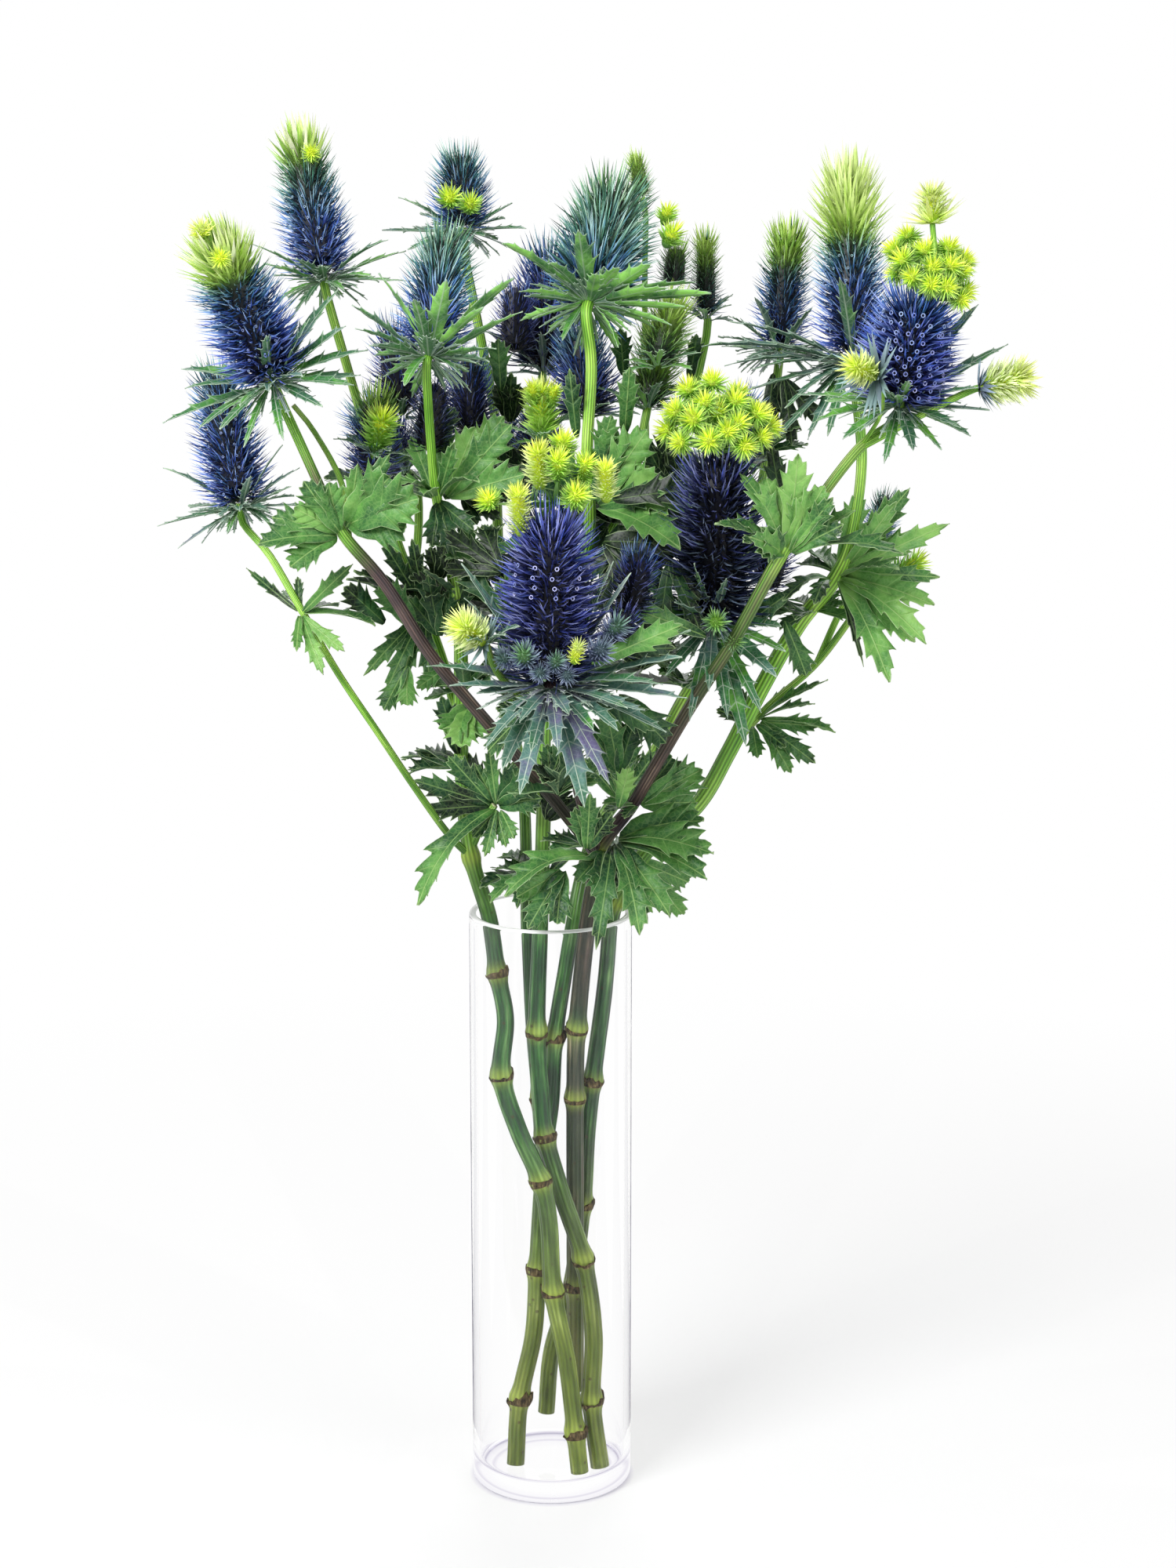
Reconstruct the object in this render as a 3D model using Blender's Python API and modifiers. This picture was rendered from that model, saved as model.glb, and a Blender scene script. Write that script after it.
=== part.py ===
"""Sea holly (Eryngium) flower heads: six cut, branching stems standing in a clear glass cylinder vase.

Metres, +Z up. The origin is the middle of the vase's foot, on the surface it stands on.
The tables below are in millimetres: x to the right, y away from the viewer, z up.
"""
import math

import bmesh
import bpy
from mathutils import Matrix, Vector

MM = 0.001

# ---- vase ----
VASE_HEIGHT = 296.0
VASE_RADIUS = 40.0
VASE_WALL = 3.5
VASE_FLOOR = 9.0
VASE_EDGE = 3.0           # rounding of the lower outside edge
VASE_STEPS = 40

# ---- fits ----
CONTACT_GAP = 0.3         # between a stem's end and the head it carries
STRAIGHT_END = 10.0       # last stretch of a stem, in line with its head
RING_CLEARANCE = 0.7      # around a stem, inside a ring of leaves
RING_WIDTH = 2.0
RING_SIDES = 14
LEAF_THICKNESS = 1.0
HEAD_STEPS = 10

# ---- outline of every head from its top down: share of its radius, share of its length ----
HEAD_SHAPE = [(0.0, 1.0), (0.42, 0.94), (0.76, 0.76), (1.0, 0.42), (0.86, 0.12), (0.5, 0.0), (0.0, 0.0)]

# ---- flower heads: middle of the base, top, radius of the body of florets ----
HEADS = {
    "head_tall_left": ((-108, 40, 602), (-120, 55, 669), 17),
    "head_front_left": ((-129, -22, 560), (-153, -34, 626), 20),
    "head_low_left": ((-147, 2, 497), (-159, 14, 563), 17),
    "head_leaning_left": ((-55, -5, 568), (-47, 36, 625), 18),
    "head_back_left": ((-43, 95, 622), (-44, 95, 660), 16),
    "head_inner_left": ((-72, 75, 503), (-95, 79, 537), 17),
    "head_top_centre": ((21, 25, 590), (35, 82, 642), 24),
    "head_back_centre": ((-5, 112, 550), (1, 124, 612), 22),
    "head_blue_centre": ((19, 70, 531), (16, 78, 575), 18),
    "head_green_centre": ((49, 70, 535), (57, 82, 575), 14),
    "head_slim_back": ((79, 120, 576), (78, 120, 619), 9),
    "head_small_top": ((46, 110, 636), (42, 110, 658), 7),
    "head_back_right": ((115, 85, 564), (119, 90, 624), 14),
    "head_tall_right": ((149, 48, 562), (146, 72, 656), 18),
    "head_front_right": ((165, -28, 549), (173, -30, 598), 22),
    "head_low_centre": ((80, -5, 443), (81, -38, 530), 24),
    "head_front_centre": ((3, -90, 428), (3, -89, 508), 23),
    "head_low_right": ((162, 60, 470), (168, 60, 494), 10),
    "bud_low_right": ((162, 45, 452), (188, 43, 466), 8),
    "bud_pale_right": ((177, -30, 632), (176, -30, 648), 8),
    "bud_front_right": ((149, -75, 566), (134, -88, 573), 9),
    "bud_far_right": ((200, -40, 557), (223, -44, 563), 9),
    "bud_slim_centre": ((-3, 20, 525), (-4, 20, 557), 9),
    "bud_front_left": ((-29, -106, 450), (-40, -114, 460), 9),
    "bud_inner_left": ((-83, 10, 521), (-77, 1, 543), 9),
}

# ---- stems: points with the stem's radius; a route ends under the head that it names ----
STEMS = {
    "stem_left": [
        ([(14, -23, 10.5, 5.2), (8, -20, 67, 5.2), (1, -18, 105, 5.3), (-1, -17, 140, 5.3),
          (-5, -16, 162, 5.3), (-16, -14, 188, 5.2), (-24, -11, 215, 5.2), (-22, -9, 243, 5.0),
          (-26, -6, 266, 4.9), (-30, -3, 293, 4.8), (-39, 0, 324, 4.6), (-43, 10, 357, 4.4),
          (-44, 20, 394, 4.2), (-44, 20, 433, 4.0), (-49, 12, 473, 3.7), (-56, 0, 520, 3.4)],
         "head_leaning_left"),
        ([(-39, 0, 323, 2.6), (-50, -8, 337, 2.6), (-66, -20, 364, 2.4), (-82, -30, 392, 2.3),
          (-100, -30, 420, 2.3), (-117, -25, 449, 2.3), (-133, -10, 473, 2.3)], "head_low_left"),
        ([(-43, 12, 370, 3.0), (-49, 30, 400, 3.0), (-61, 45, 433, 3.0), (-76, 50, 471, 3.0),
          (-86, 50, 510, 2.9), (-97, 42, 552, 2.8)], "head_tall_left"),
        ([(-80, 50, 486, 1.8), (-82, 34, 500, 1.8)], "bud_inner_left"),
        ([(-68, 47, 452, 2.4), (-66, 64, 474, 2.4)], "head_inner_left"),
    ],
    "stem_centre": [
        ([(24, -16, 10.5, 5.3), (20, -13, 45, 5.3), (21, -9, 79, 5.3), (16, -6, 117, 5.3),
          (5, -5, 152, 5.3), (-3, -4, 181, 5.2), (-5, -3, 201, 5.2), (-7, -1, 234, 5.2),
          (-5, 2, 288, 4.9), (-4, 3, 320, 4.7), (-3, 5, 358, 4.5), (-3, 12, 385, 4.4),
          (0, 24, 413, 4.3), (11, 28, 451, 4.2), (19, 22, 482, 4.1), (18, 12, 520, 4.0),
          (20, 18, 560, 3.9)], "head_top_centre"),
        ([(0, 24, 413, 2.6), (5, 45, 440, 2.6), (14, 61, 485, 2.5)], "head_blue_centre"),
        ([(11, 28, 450, 2.4), (30, 50, 477, 2.4), (42, 62, 505, 2.4)], "head_green_centre"),
        ([(10, 28, 449, 2.0), (0, 27, 480, 1.8)], "bud_slim_centre"),
    ],
    "stem_purple": [
        ([(12, 2, 44, 5.2), (12, 6, 98, 5.2), (12, 7, 140, 5.2), (12, 6, 198, 5.2),
          (13, 3, 235, 5.2), (18, -4, 289, 4.9), (22, -9, 316, 4.8), (24, -12, 331, 4.6),
          (39, -22, 353, 3.9), (48, -28, 370, 3.8), (67, -35, 405, 3.8), (87, -40, 438, 3.8),
          (108, -40, 477, 3.9), (124, -38, 501, 3.6), (145, -31, 527, 3.5)], "head_front_right"),
        ([(23, -10, 326, 3.6), (11, -22, 345, 3.5), (-4, -35, 367, 3.5), (-37, -50, 410, 3.4),
          (-56, -55, 435, 3.4), (-76, -50, 466, 3.4), (-95, -45, 488, 3.5),
          (-116, -32, 530, 3.1)], "head_front_left"),
        ([(23, -11, 328, 3.4), (15, -45, 362, 3.3), (10, -72, 394, 3.2)], "head_front_centre"),
        ([(144, -31, 526, 1.8), (150, -50, 545, 1.8)], "bud_front_right"),
        ([(145, -31, 527, 1.8), (176, -34, 544, 1.8)], "bud_far_right"),
        ([(6, -81, 408, 1.8), (-10, -91, 419, 1.8), (-23, -99, 434, 1.8)], "bud_front_left"),
    ],
    "stem_back": [
        ([(-18, -13, 10.5, 5.2), (-16, -8, 43, 5.2), (-9, -5, 77, 5.2), (-7, -4, 111, 5.2),
          (-5, -1, 143, 5.2), (-3, 7.5, 173, 5.2), (0, 8, 197, 5.2), (2, 8, 229, 5.0),
          (7, 8, 262, 4.8), (11, 9, 286, 4.6), (16, 18, 310, 4.4), (26, 32, 335, 4.1),
          (50, 38, 364, 3.9), (64, 36, 391, 3.8), (75, 20, 415, 3.7)], "head_low_centre"),
        ([(50, 38, 364, 3.0), (75, 52, 410, 3.0), (92, 66, 450, 2.9), (106, 78, 500, 2.8)],
         "head_back_right"),
    ],
    "stem_right": [
        ([(-3, 14, 27, 5.2), (0, 16, 60, 5.2), (10, 18, 94, 5.2), (16, 18, 138, 5.2),
          (18, 18, 173, 5.2), (21, 16, 204, 5.2), (27, 10, 253, 5.0), (29.5, 6, 285, 4.6),
          (32, 3, 300, 4.4), (38, 0, 312, 4.5), (49, 0, 328, 4.4), (72, 5, 348, 4.3),
          (87, 10, 373, 4.2), (104, 15, 406, 4.1), (121, 15, 436, 4.1), (138, 12, 459, 4.0),
          (146, 15, 480, 3.6), (151, 28, 515, 3.3)], "head_tall_right"),
        ([(68, 4, 345, 2.4), (85, 30, 365, 2.3), (108, 48, 388, 2.2), (134, 53, 411, 2.2)],
         "bud_low_right"),
        ([(133, 53, 410, 2.0), (145, 59, 436, 1.9)], "head_low_right"),
    ],
    "stem_thin": [
        ([(-5, 18, 94, 3.6), (-5, 20, 152, 3.6), (-7, 20, 193, 3.7), (-10, 20, 234, 3.7),
          (-12, 19, 284, 3.6), (-12, 20, 304, 3.5), (-14, 40, 350, 3.4), (-21, 50, 388, 3.3),
          (-25, 60, 434, 3.1), (-27, 75, 483, 2.9), (-28, 88, 525, 2.7), (-36, 93, 571, 2.6)],
         "head_back_left"),
        ([(-25, 61, 436, 2.6), (-19, 85, 462, 2.6), (-11, 105, 499, 2.5)], "head_back_centre"),
        ([(-14, 40, 351, 2.6), (7, 70, 384, 2.6), (30, 100, 419, 2.6), (51, 118, 457, 2.5),
          (67, 122, 513, 2.4)], "head_slim_back"),
        ([(50, 117, 455, 1.8), (48, 115, 520, 1.7), (47, 111, 590, 1.6)], "head_small_top"),
    ],
}

# ---- crowns of young heads that grow from the top of an older head ----
# middle, radius of the middle, radius of one young head, then where each young head sits
CROWNS = {
    "crown_right": ((175, -30, 611.5), 13, 6,
                    [(12, -9, 4), (-12, -10, 3), (0, -16, 0), (17, 2, 2), (-16, 3, 4),
                     (8, -4, 13), (-8, -5, 13), (0, 12, 9), (10, 11, 4), (-10, 12, 3)]),
    "crown_centre": ((81, -42, 544.5), 14, 6.5,
                     [(-25, -4, 0), (-14, -14, -3), (0, -17, -4), (14, -13, -2), (25, -2, 2),
                      (-14, -4, 9), (0, -7, 11), (13, -3, 10), (-8, 10, 8), (9, 10, 8)]),
    "crown_front": ((3, -88, 517.5), 9, 6,
                    [(-26, -4, -3), (-16, -12, -4), (-13, -6, 12), (2, -6, 16), (12, -14, 4),
                     (22, -4, 10), (3, 12, 10)]),
}
CROWN_STALK_RADIUS = 2.0
BUD_STALK_RADIUS = 1.6

# ---- collars of bracts, one ring under each large head ----
# head, length, width, rise of the bract's line, droop of its tip, then each bract's direction in degrees
COLLARS = {
    "bracts_tall_left": ("head_tall_left", 34, 8, 20, 4, (10, 55, 100, 145, 190, 235, 280, 325)),
    "bracts_front_left": ("head_front_left", 46, 9, 12, 6, (0, 45, 88, 172, 210, 250, 300)),
    "bracts_low_left": ("head_low_left", 36, 8, 15, 6, (20, 72, 123, 175, 226, 277, 329)),
    "bracts_leaning_left": ("head_leaning_left", 36, 9, 5, 6, (0, 45, 90, 135, 180, 225, 270, 315)),
    "bracts_back_left": ("head_back_left", 28, 7, 10, 3, (0, 51, 103, 154, 206, 257, 309)),
    "bracts_top_centre": ("head_top_centre", 44, 10, 14, 4, (0, 40, 140, 180, 225, 270, 315)),
    "bracts_back_right": ("head_back_right", 28, 7, 12, 4, (15, 66, 118, 169, 221, 272, 324)),
    "bracts_tall_right": ("head_tall_right", 42, 9, 16, 8, (0, 45, 90, 135, 180, 225, 270, 315)),
    "bracts_front_right": ("head_front_right", 44, 10, 8, 8, (22, 65, 110, 155, 200, 268, 300)),
    "bracts_low_centre": ("head_low_centre", 42, 9, 6, 8, (0, 45, 90, 135, 180, 228, 312)),
    "bracts_front_centre": ("head_front_centre", 50, 10, 0, 12, (10, 52, 92, 130, 165, 240, 285, 325)),
}
COLLAR_DROP = 4.0         # the ring sits this far below the head's base
COLLAR_HOLE = 4.2

# ---- whorls of leaves at the stem nodes ----
# middle, direction of the stem, radius of the stem there,
# then each leaf: direction seen from above (degrees), length, width, rise (degrees), droop
WHORLS = {
    "leaves_low_left": ((-117, -25, 449), (-16, 10, 26), 2.3,
                        [(-20, 46, 12, 0, 3), (200, 30, 10, 15, 3), (-100, 28, 10, -30, 6),
                         (60, 26, 9, 30, 2)]),
    "leaves_front_left": ((-95, -45, 488), (-14, 8, 32), 3.5,
                          [(-15, 48, 22, 10, 4), (165, 46, 18, 5, 6), (-100, 24, 14, -10, 5),
                           (225, 26, 12, 0, 4)]),
    "leaves_inner_left": ((-52, 7, 494), (-4, -7, 32), 3.7,
                          [(-15, 44, 18, 15, 4), (-80, 34, 16, -20, 8), (195, 24, 12, 25, 4)]),
    "leaves_centre": ((18.5, 17.3, 500), (-1, -10, 38), 4.1,
                      [(-62, 60, 24, -5, 8), (-5, 44, 20, 25, 3), (200, 30, 16, 20, 4)]),
    "leaves_front_right": ((112, -39.5, 483), (16, 2, 24), 3.8,
                           [(-30, 34, 16, -20, 8), (222, 26, 14, 10, 3), (-90, 34, 18, 0, 6),
                            (10, 30, 14, 15, 3)]),
    "leaves_right": ((138, 12, 459), (12, 1, 22), 4.0,
                     [(-35, 46, 18, -35, 8), (0, 52, 16, 10, 5), (35, 42, 16, 0, 6)]),
    "leaves_fork": ((20.4, -7, 306), (4, -5, 27), 4.8,
                    [(-35, 62, 30, 15, 8), (-80, 48, 26, 6, 10), (205, 40, 22, 5, 10),
                     (-10, 54, 22, 25, 8)]),
    "leaves_dark": ((-43, 12, 363), (-1, 10, 36), 4.4,
                    [(190, 42, 20, 5, 6), (-60, 38, 18, -10, 8), (-110, 30, 14, 0, 8)]),
    "leaves_rim": ((-4.2, 2.8, 312), (1, 1, 32), 4.8,
                   [(215, 44, 22, 0, 14), (150, 28, 14, 10, 6)]),
    "leaves_back_right": ((100, 41.8, 380), (23, 18, 23), 2.4,
                          [(-20, 44, 16, -20, 8), (20, 38, 14, 0, 8), (90, 28, 12, 10, 6)]),
}

COLOURS = {
    "glass": (0.86, 0.90, 0.93, 0.05, 0.0),
    "stem": (0.16, 0.32, 0.06, 0.5, 0.0),
    "floret": (0.09, 0.12, 0.32, 0.7, 0.0),
    "young": (0.50, 0.66, 0.08, 0.7, 0.0),
    "leaf": (0.08, 0.22, 0.06, 0.6, 0.0),
    "bract": (0.10, 0.22, 0.14, 0.6, 0.0),
}

for old in list(bpy.data.objects):
    bpy.data.objects.remove(old, do_unlink=True)

parts = bpy.data.collections.new("sea_holly_in_vase")
cutters = bpy.data.collections.new("cutters")
bpy.context.scene.collection.children.link(parts)
bpy.context.scene.collection.children.link(cutters)


def material(name):
    """One Principled material for each thing the object is made of."""
    if name in bpy.data.materials:
        return bpy.data.materials[name]
    red, green, blue, roughness, metallic = COLOURS[name]
    made = bpy.data.materials.new(name)
    made.use_nodes = True
    shader = made.node_tree.nodes["Principled BSDF"]
    shader.inputs["Base Color"].default_value = (red, green, blue, 1.0)
    shader.inputs["Roughness"].default_value = roughness
    shader.inputs["Metallic"].default_value = metallic
    return made


def add_part(name, data, finish):
    """Link a mesh or curve into the object's collection under its own name."""
    part = bpy.data.objects.new(name, data)
    parts.objects.link(part)
    data.materials.append(material(finish))
    return part


def facing(direction):
    """Rotation that turns +Z to the given direction and keeps +X as near world +X as it can."""
    up = Vector(direction).normalized()
    side = Vector((1, 0, 0)) - up * up.x
    if side.length < 0.2:
        side = Vector((0, 1, 0)) - up * up.y
    side.normalize()
    return Matrix((side, up.cross(side), up)).transposed()


def turned(name, profile, steps, finish):
    """A turned piece: profile points (radius, height) in mm, down the outside, spun about Z."""
    mesh = bpy.data.meshes.new(name)
    build = bmesh.new()
    points = [build.verts.new((radius * MM, 0, height * MM)) for radius, height in profile]
    for above, below in zip(points, points[1:]):
        build.edges.new((above, below))
    build.to_mesh(mesh)
    build.free()
    part = add_part(name, mesh, finish)
    screw = part.modifiers.new("spin", "SCREW")
    screw.steps = steps
    screw.render_steps = steps
    screw.use_merge_vertices = True
    screw.merge_threshold = 0.00001
    return part


def arc(middle_r, middle_z, radius, start, end, count):
    """Points of a round edge, from start to end in degrees, 0 outward and 90 up."""
    angles = [math.radians(start + (end - start) * i / count) for i in range(count + 1)]
    return [(middle_r + radius * math.cos(a), middle_z + radius * math.sin(a)) for a in angles]


def vase():
    """A straight glass cylinder with a thick floor, a fire-polished rim and a rounded foot."""
    inner = VASE_RADIUS - VASE_WALL
    half_wall = VASE_WALL / 2
    rim_top = arc(inner + half_wall, VASE_HEIGHT - half_wall, half_wall, 180, 0, 4)
    foot_edge = arc(VASE_RADIUS - VASE_EDGE, VASE_EDGE, VASE_EDGE, 0, -90, 3)
    well_edge = arc(inner - VASE_EDGE, VASE_FLOOR + VASE_EDGE, VASE_EDGE, -90, 0, 3)
    profile = [(0, VASE_FLOOR)] + well_edge + rim_top + foot_edge + [(0, 0)]
    turned("glass_vase", profile, VASE_STEPS, "glass")


def head_axis(head):
    """A head's base and the direction in which it points."""
    base, top = (Vector(point) for point in HEADS[head][:2])
    return base, (top - base).normalized()


def flower_head(name):
    """An egg-shaped body of florets on a flat base, standing on the end of its stem."""
    base, axis = head_axis(name)
    top, radius = HEADS[name][1:]
    length = (Vector(top) - base).length
    profile = [(across * radius, along * length) for across, along in HEAD_SHAPE]
    finish = "young" if name.startswith("bud") else "floret"
    part = turned(name, profile, HEAD_STEPS, finish)
    part.matrix_world = Matrix.Translation(base * MM) @ facing(axis).to_4x4()


def tube(points):
    """A stem as a bevelled curve; each point carries the stem's radius."""
    curve = bpy.data.curves.new("tube", "CURVE")
    curve.dimensions = "3D"
    curve.bevel_depth = MM
    curve.bevel_resolution = 2
    curve.use_fill_caps = True
    spline = curve.splines.new("POLY")
    spline.points.add(len(points) - 1)
    for place, (x, y, z, radius) in zip(spline.points, points):
        place.co = (x * MM, y * MM, z * MM, 1)
        place.radius = radius
    guide = bpy.data.objects.new("tube", curve)
    bpy.context.scene.collection.objects.link(guide)
    return mesh_of(guide)


def mesh_of(guide):
    """The evaluated mesh of an object, with its loose caps or seams welded; the object goes."""
    bpy.context.view_layer.update()
    depsgraph = bpy.context.evaluated_depsgraph_get()
    mesh = bpy.data.meshes.new_from_object(guide.evaluated_get(depsgraph))
    mesh.transform(guide.matrix_world)
    build = bmesh.new()
    build.from_mesh(mesh)
    bmesh.ops.remove_doubles(build, verts=build.verts, dist=0.00001)
    bmesh.ops.recalc_face_normals(build, faces=build.faces)
    build.to_mesh(mesh)
    build.free()
    bpy.data.objects.remove(guide, do_unlink=True)
    return mesh


def joined(name, meshes, finish):
    """Boolean union of closed meshes that grow into each other."""
    part = add_part(name, meshes[0], finish)
    for index, mesh in enumerate(meshes[1:]):
        cutter = bpy.data.objects.new(f"{name}_arm_{index}", mesh)
        cutters.objects.link(cutter)
        cutter.hide_render = True
        cutter.display_type = "WIRE"
        union = part.modifiers.new(f"join_{index}", "BOOLEAN")
        union.operation = "UNION"
        union.solver = "EXACT"
        union.object = cutter


def stem(name, routes):
    """A main stem with its side branches, each ending square under its own head."""
    meshes = []
    for points, head in routes:
        base, axis = head_axis(head)
        radius = points[-1][3]
        ends = [base - axis * STRAIGHT_END, base - axis * CONTACT_GAP]
        meshes.append(tube(points + [(*end, radius) for end in ends]))
    joined(name, meshes, "stem")


def ball(middle, radius):
    """A coarse ball, closed, with its place in its mesh."""
    mesh = bpy.data.meshes.new("ball")
    build = bmesh.new()
    bmesh.ops.create_icosphere(build, subdivisions=1, radius=radius * MM,
                               matrix=Matrix.Translation(Vector(middle) * MM))
    build.to_mesh(mesh)
    build.free()
    return mesh


def crown(name):
    """Young heads on short stalks round a middle, grown into one."""
    middle, middle_radius, radius, places = CROWNS[name]
    middle = Vector(middle)
    meshes = [ball(middle, middle_radius)]
    for place in places:
        end = middle + Vector(place)
        meshes.append(tube([(*middle, CROWN_STALK_RADIUS), (*end, CROWN_STALK_RADIUS)]))
        meshes.append(ball(end, radius))
    if name == "crown_right":
        base, axis = head_axis("bud_pale_right")
        end = base - axis * CONTACT_GAP
        meshes.append(tube([(*middle, BUD_STALK_RADIUS), (*end, BUD_STALK_RADIUS)]))
    joined(name, meshes, "young")


def leaf_ring(name, middle, direction, hole, leaves, finish):
    """A thin ring round the stem that carries a few leaves, each drawn out from one of its sides."""
    mesh = bpy.data.meshes.new(name)
    build = bmesh.new()
    bmesh.ops.create_circle(build, segments=RING_SIDES, radius=hole * MM)
    outer = bmesh.ops.extrude_edge_only(build, edges=build.edges[:])["geom"]
    rim = [item for item in outer if isinstance(item, bmesh.types.BMVert)]
    spread = (hole + RING_WIDTH) / hole
    bmesh.ops.scale(build, vec=(spread, spread, 1), verts=rim)
    sides = [edge for edge in build.edges if all(vert in rim for vert in edge.verts)]
    for turn, length, width, rise, droop in leaves:
        out = Vector((math.cos(math.radians(turn)), math.sin(math.radians(turn)), 0))
        side = max(sides, key=lambda edge: (edge.verts[0].co + edge.verts[1].co).dot(out))
        sides.remove(side)
        draw_leaf(build, side, out, length, width, rise, droop, hole + RING_WIDTH)
    build.to_mesh(mesh)
    build.free()
    part = add_part(name, mesh, finish)
    part.matrix_world = Matrix.Translation(Vector(middle) * MM) @ facing(direction).to_4x4()
    wall = part.modifiers.new("leaf_thickness", "SOLIDIFY")
    wall.thickness = LEAF_THICKNESS * MM
    wall.offset = 0


def draw_leaf(build, side, out, length, width, rise, droop, start):
    """Draw one side of the ring out along a leaf: narrow foot, broad middle, pointed tip."""
    across = Vector((-out.y, out.x, 0))
    for along, share in ((0.3, 0.55), (0.65, 1.0), (1.0, 0.08)):
        made = bmesh.ops.extrude_edge_only(build, edges=[side])["geom"]
        side = build.edges.get([item for item in made if isinstance(item, bmesh.types.BMVert)])
        height = along * length * math.tan(math.radians(rise)) - droop * along ** 2
        centre = out * (start + along * length) + Vector((0, 0, height))
        right, left = sorted(side.verts, key=lambda vert: vert.co.dot(across))
        right.co = (centre - across * share * width / 2) * MM
        left.co = (centre + across * share * width / 2) * MM


def collar(name):
    """The ring of bracts just below a head."""
    head, length, width, rise, droop, directions = COLLARS[name]
    base, axis = head_axis(head)
    leaves = [(direction, length, width, rise, droop) for direction in directions]
    leaf_ring(name, base - axis * COLLAR_DROP, axis, COLLAR_HOLE, leaves, "bract")


def whorl(name):
    """The leaves at one node of a stem."""
    middle, direction, radius, leaves = WHORLS[name]
    leaf_ring(name, middle, direction, radius + RING_CLEARANCE, leaves, "leaf")


vase()
for stem_name, stem_routes in STEMS.items():
    stem(stem_name, stem_routes)
for head_name in HEADS:
    flower_head(head_name)
for crown_name in CROWNS:
    crown(crown_name)
for collar_name in COLLARS:
    collar(collar_name)
for whorl_name in WHORLS:
    whorl(whorl_name)
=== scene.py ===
import math
import random

import bmesh
import bpy
from mathutils import Matrix, Vector


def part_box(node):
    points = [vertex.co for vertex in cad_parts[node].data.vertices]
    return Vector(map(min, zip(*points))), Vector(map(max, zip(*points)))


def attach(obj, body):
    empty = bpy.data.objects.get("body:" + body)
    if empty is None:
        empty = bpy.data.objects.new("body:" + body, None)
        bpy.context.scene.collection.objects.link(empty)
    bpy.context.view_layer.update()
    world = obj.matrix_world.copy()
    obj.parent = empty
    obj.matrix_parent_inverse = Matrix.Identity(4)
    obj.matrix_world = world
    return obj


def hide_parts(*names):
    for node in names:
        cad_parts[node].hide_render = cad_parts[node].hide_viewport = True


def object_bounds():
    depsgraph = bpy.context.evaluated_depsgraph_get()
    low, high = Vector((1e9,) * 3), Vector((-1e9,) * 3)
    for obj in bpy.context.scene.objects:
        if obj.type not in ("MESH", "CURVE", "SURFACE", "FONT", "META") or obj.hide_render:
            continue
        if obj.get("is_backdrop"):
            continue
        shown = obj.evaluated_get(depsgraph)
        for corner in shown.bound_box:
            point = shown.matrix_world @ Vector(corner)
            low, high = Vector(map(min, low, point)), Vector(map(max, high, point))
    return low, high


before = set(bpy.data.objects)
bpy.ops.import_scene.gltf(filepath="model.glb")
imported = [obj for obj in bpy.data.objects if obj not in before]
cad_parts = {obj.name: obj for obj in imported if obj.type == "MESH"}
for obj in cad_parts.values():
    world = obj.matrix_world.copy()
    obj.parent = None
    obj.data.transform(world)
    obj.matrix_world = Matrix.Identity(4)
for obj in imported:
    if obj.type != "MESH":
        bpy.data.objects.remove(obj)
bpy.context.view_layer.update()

# ---------------------------------------------------------------------------------------------
# The studio: a pale floor that runs out of sight, soft lamps, and a white room.
# Lilac strips lie round the vase, where only a reflection shows them, as thin lines in the glass.
# ---------------------------------------------------------------------------------------------


def linear(colour):
    """An sRGB colour written as hex, as the linear values that a socket takes."""
    parts = [int(colour[place:place + 2], 16) / 255 for place in (1, 3, 5)]
    return [part / 12.92 if part <= 0.04045 else ((part + 0.055) / 1.055) ** 2.4 for part in parts] + [1.0]


def node(tree, kind, feeds=None, stops=(), **settings):
    """Add one shader node: its settings, the stops of its ramp, and what feeds each of its sockets."""
    made = tree.nodes.new("ShaderNode" + kind)
    for name, value in settings.items():
        setattr(made, name, value)
    for index, (place, colour) in enumerate(stops):
        stop = made.color_ramp.elements[index] if index < 2 else made.color_ramp.elements.new(place)
        stop.position = place
        stop.color = linear(colour)
    for socket, value in (feeds or {}).items():
        if isinstance(value, bpy.types.NodeSocket):
            tree.links.new(value, made.inputs[socket])
        else:
            made.inputs[socket].default_value = linear(value) if isinstance(value, str) else value
    return made


def finish_of(name, plain):
    """A Principled material named for the real one, its plain sockets set; gives its tree and shader too."""
    made = bpy.data.materials.new(name)
    made.use_nodes = True
    shader = made.node_tree.nodes["Principled BSDF"]
    for socket, value in plain.items():
        shader.inputs[socket].default_value = linear(value) if isinstance(value, str) else value
    return made, made.node_tree, shader


def mesh_of(name, build):
    """Write a bmesh out as a mesh."""
    mesh = bpy.data.meshes.new(name)
    build.to_mesh(mesh)
    build.free()
    return mesh


def mesh_object(name, build, finishes):
    """Write a bmesh out as an object at the origin, with its materials."""
    mesh = mesh_of(name, build)
    for finish in finishes:
        mesh.materials.append(finish)
    made = bpy.data.objects.new(name, mesh)
    bpy.context.scene.collection.objects.link(made)
    return made


# White room: the eye, reflections and clear glass meet it as pure white, but it lights the flowers less.
room_light = 0.4
room = bpy.data.worlds.new("white_room")
room.use_nodes = True
rays = node(room.node_tree, "LightPath")
seen = node(room.node_tree, "Math", {0: rays.outputs["Is Camera Ray"], 1: rays.outputs["Is Glossy Ray"]},
            operation="MAXIMUM")
seen = node(room.node_tree, "Math", {0: seen.outputs[0], 1: rays.outputs["Is Transmission Ray"]},
            operation="MAXIMUM")
level = node(room.node_tree, "Math", {0: seen.outputs[0], 1: 1 - room_light, 2: room_light},
             operation="MULTIPLY_ADD")
sky = room.node_tree.nodes["Background"]
sky.inputs["Color"].default_value = linear("#FFFFFF")
room.node_tree.links.new(level.outputs[0], sky.inputs["Strength"])
bpy.context.scene.world = room

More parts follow.
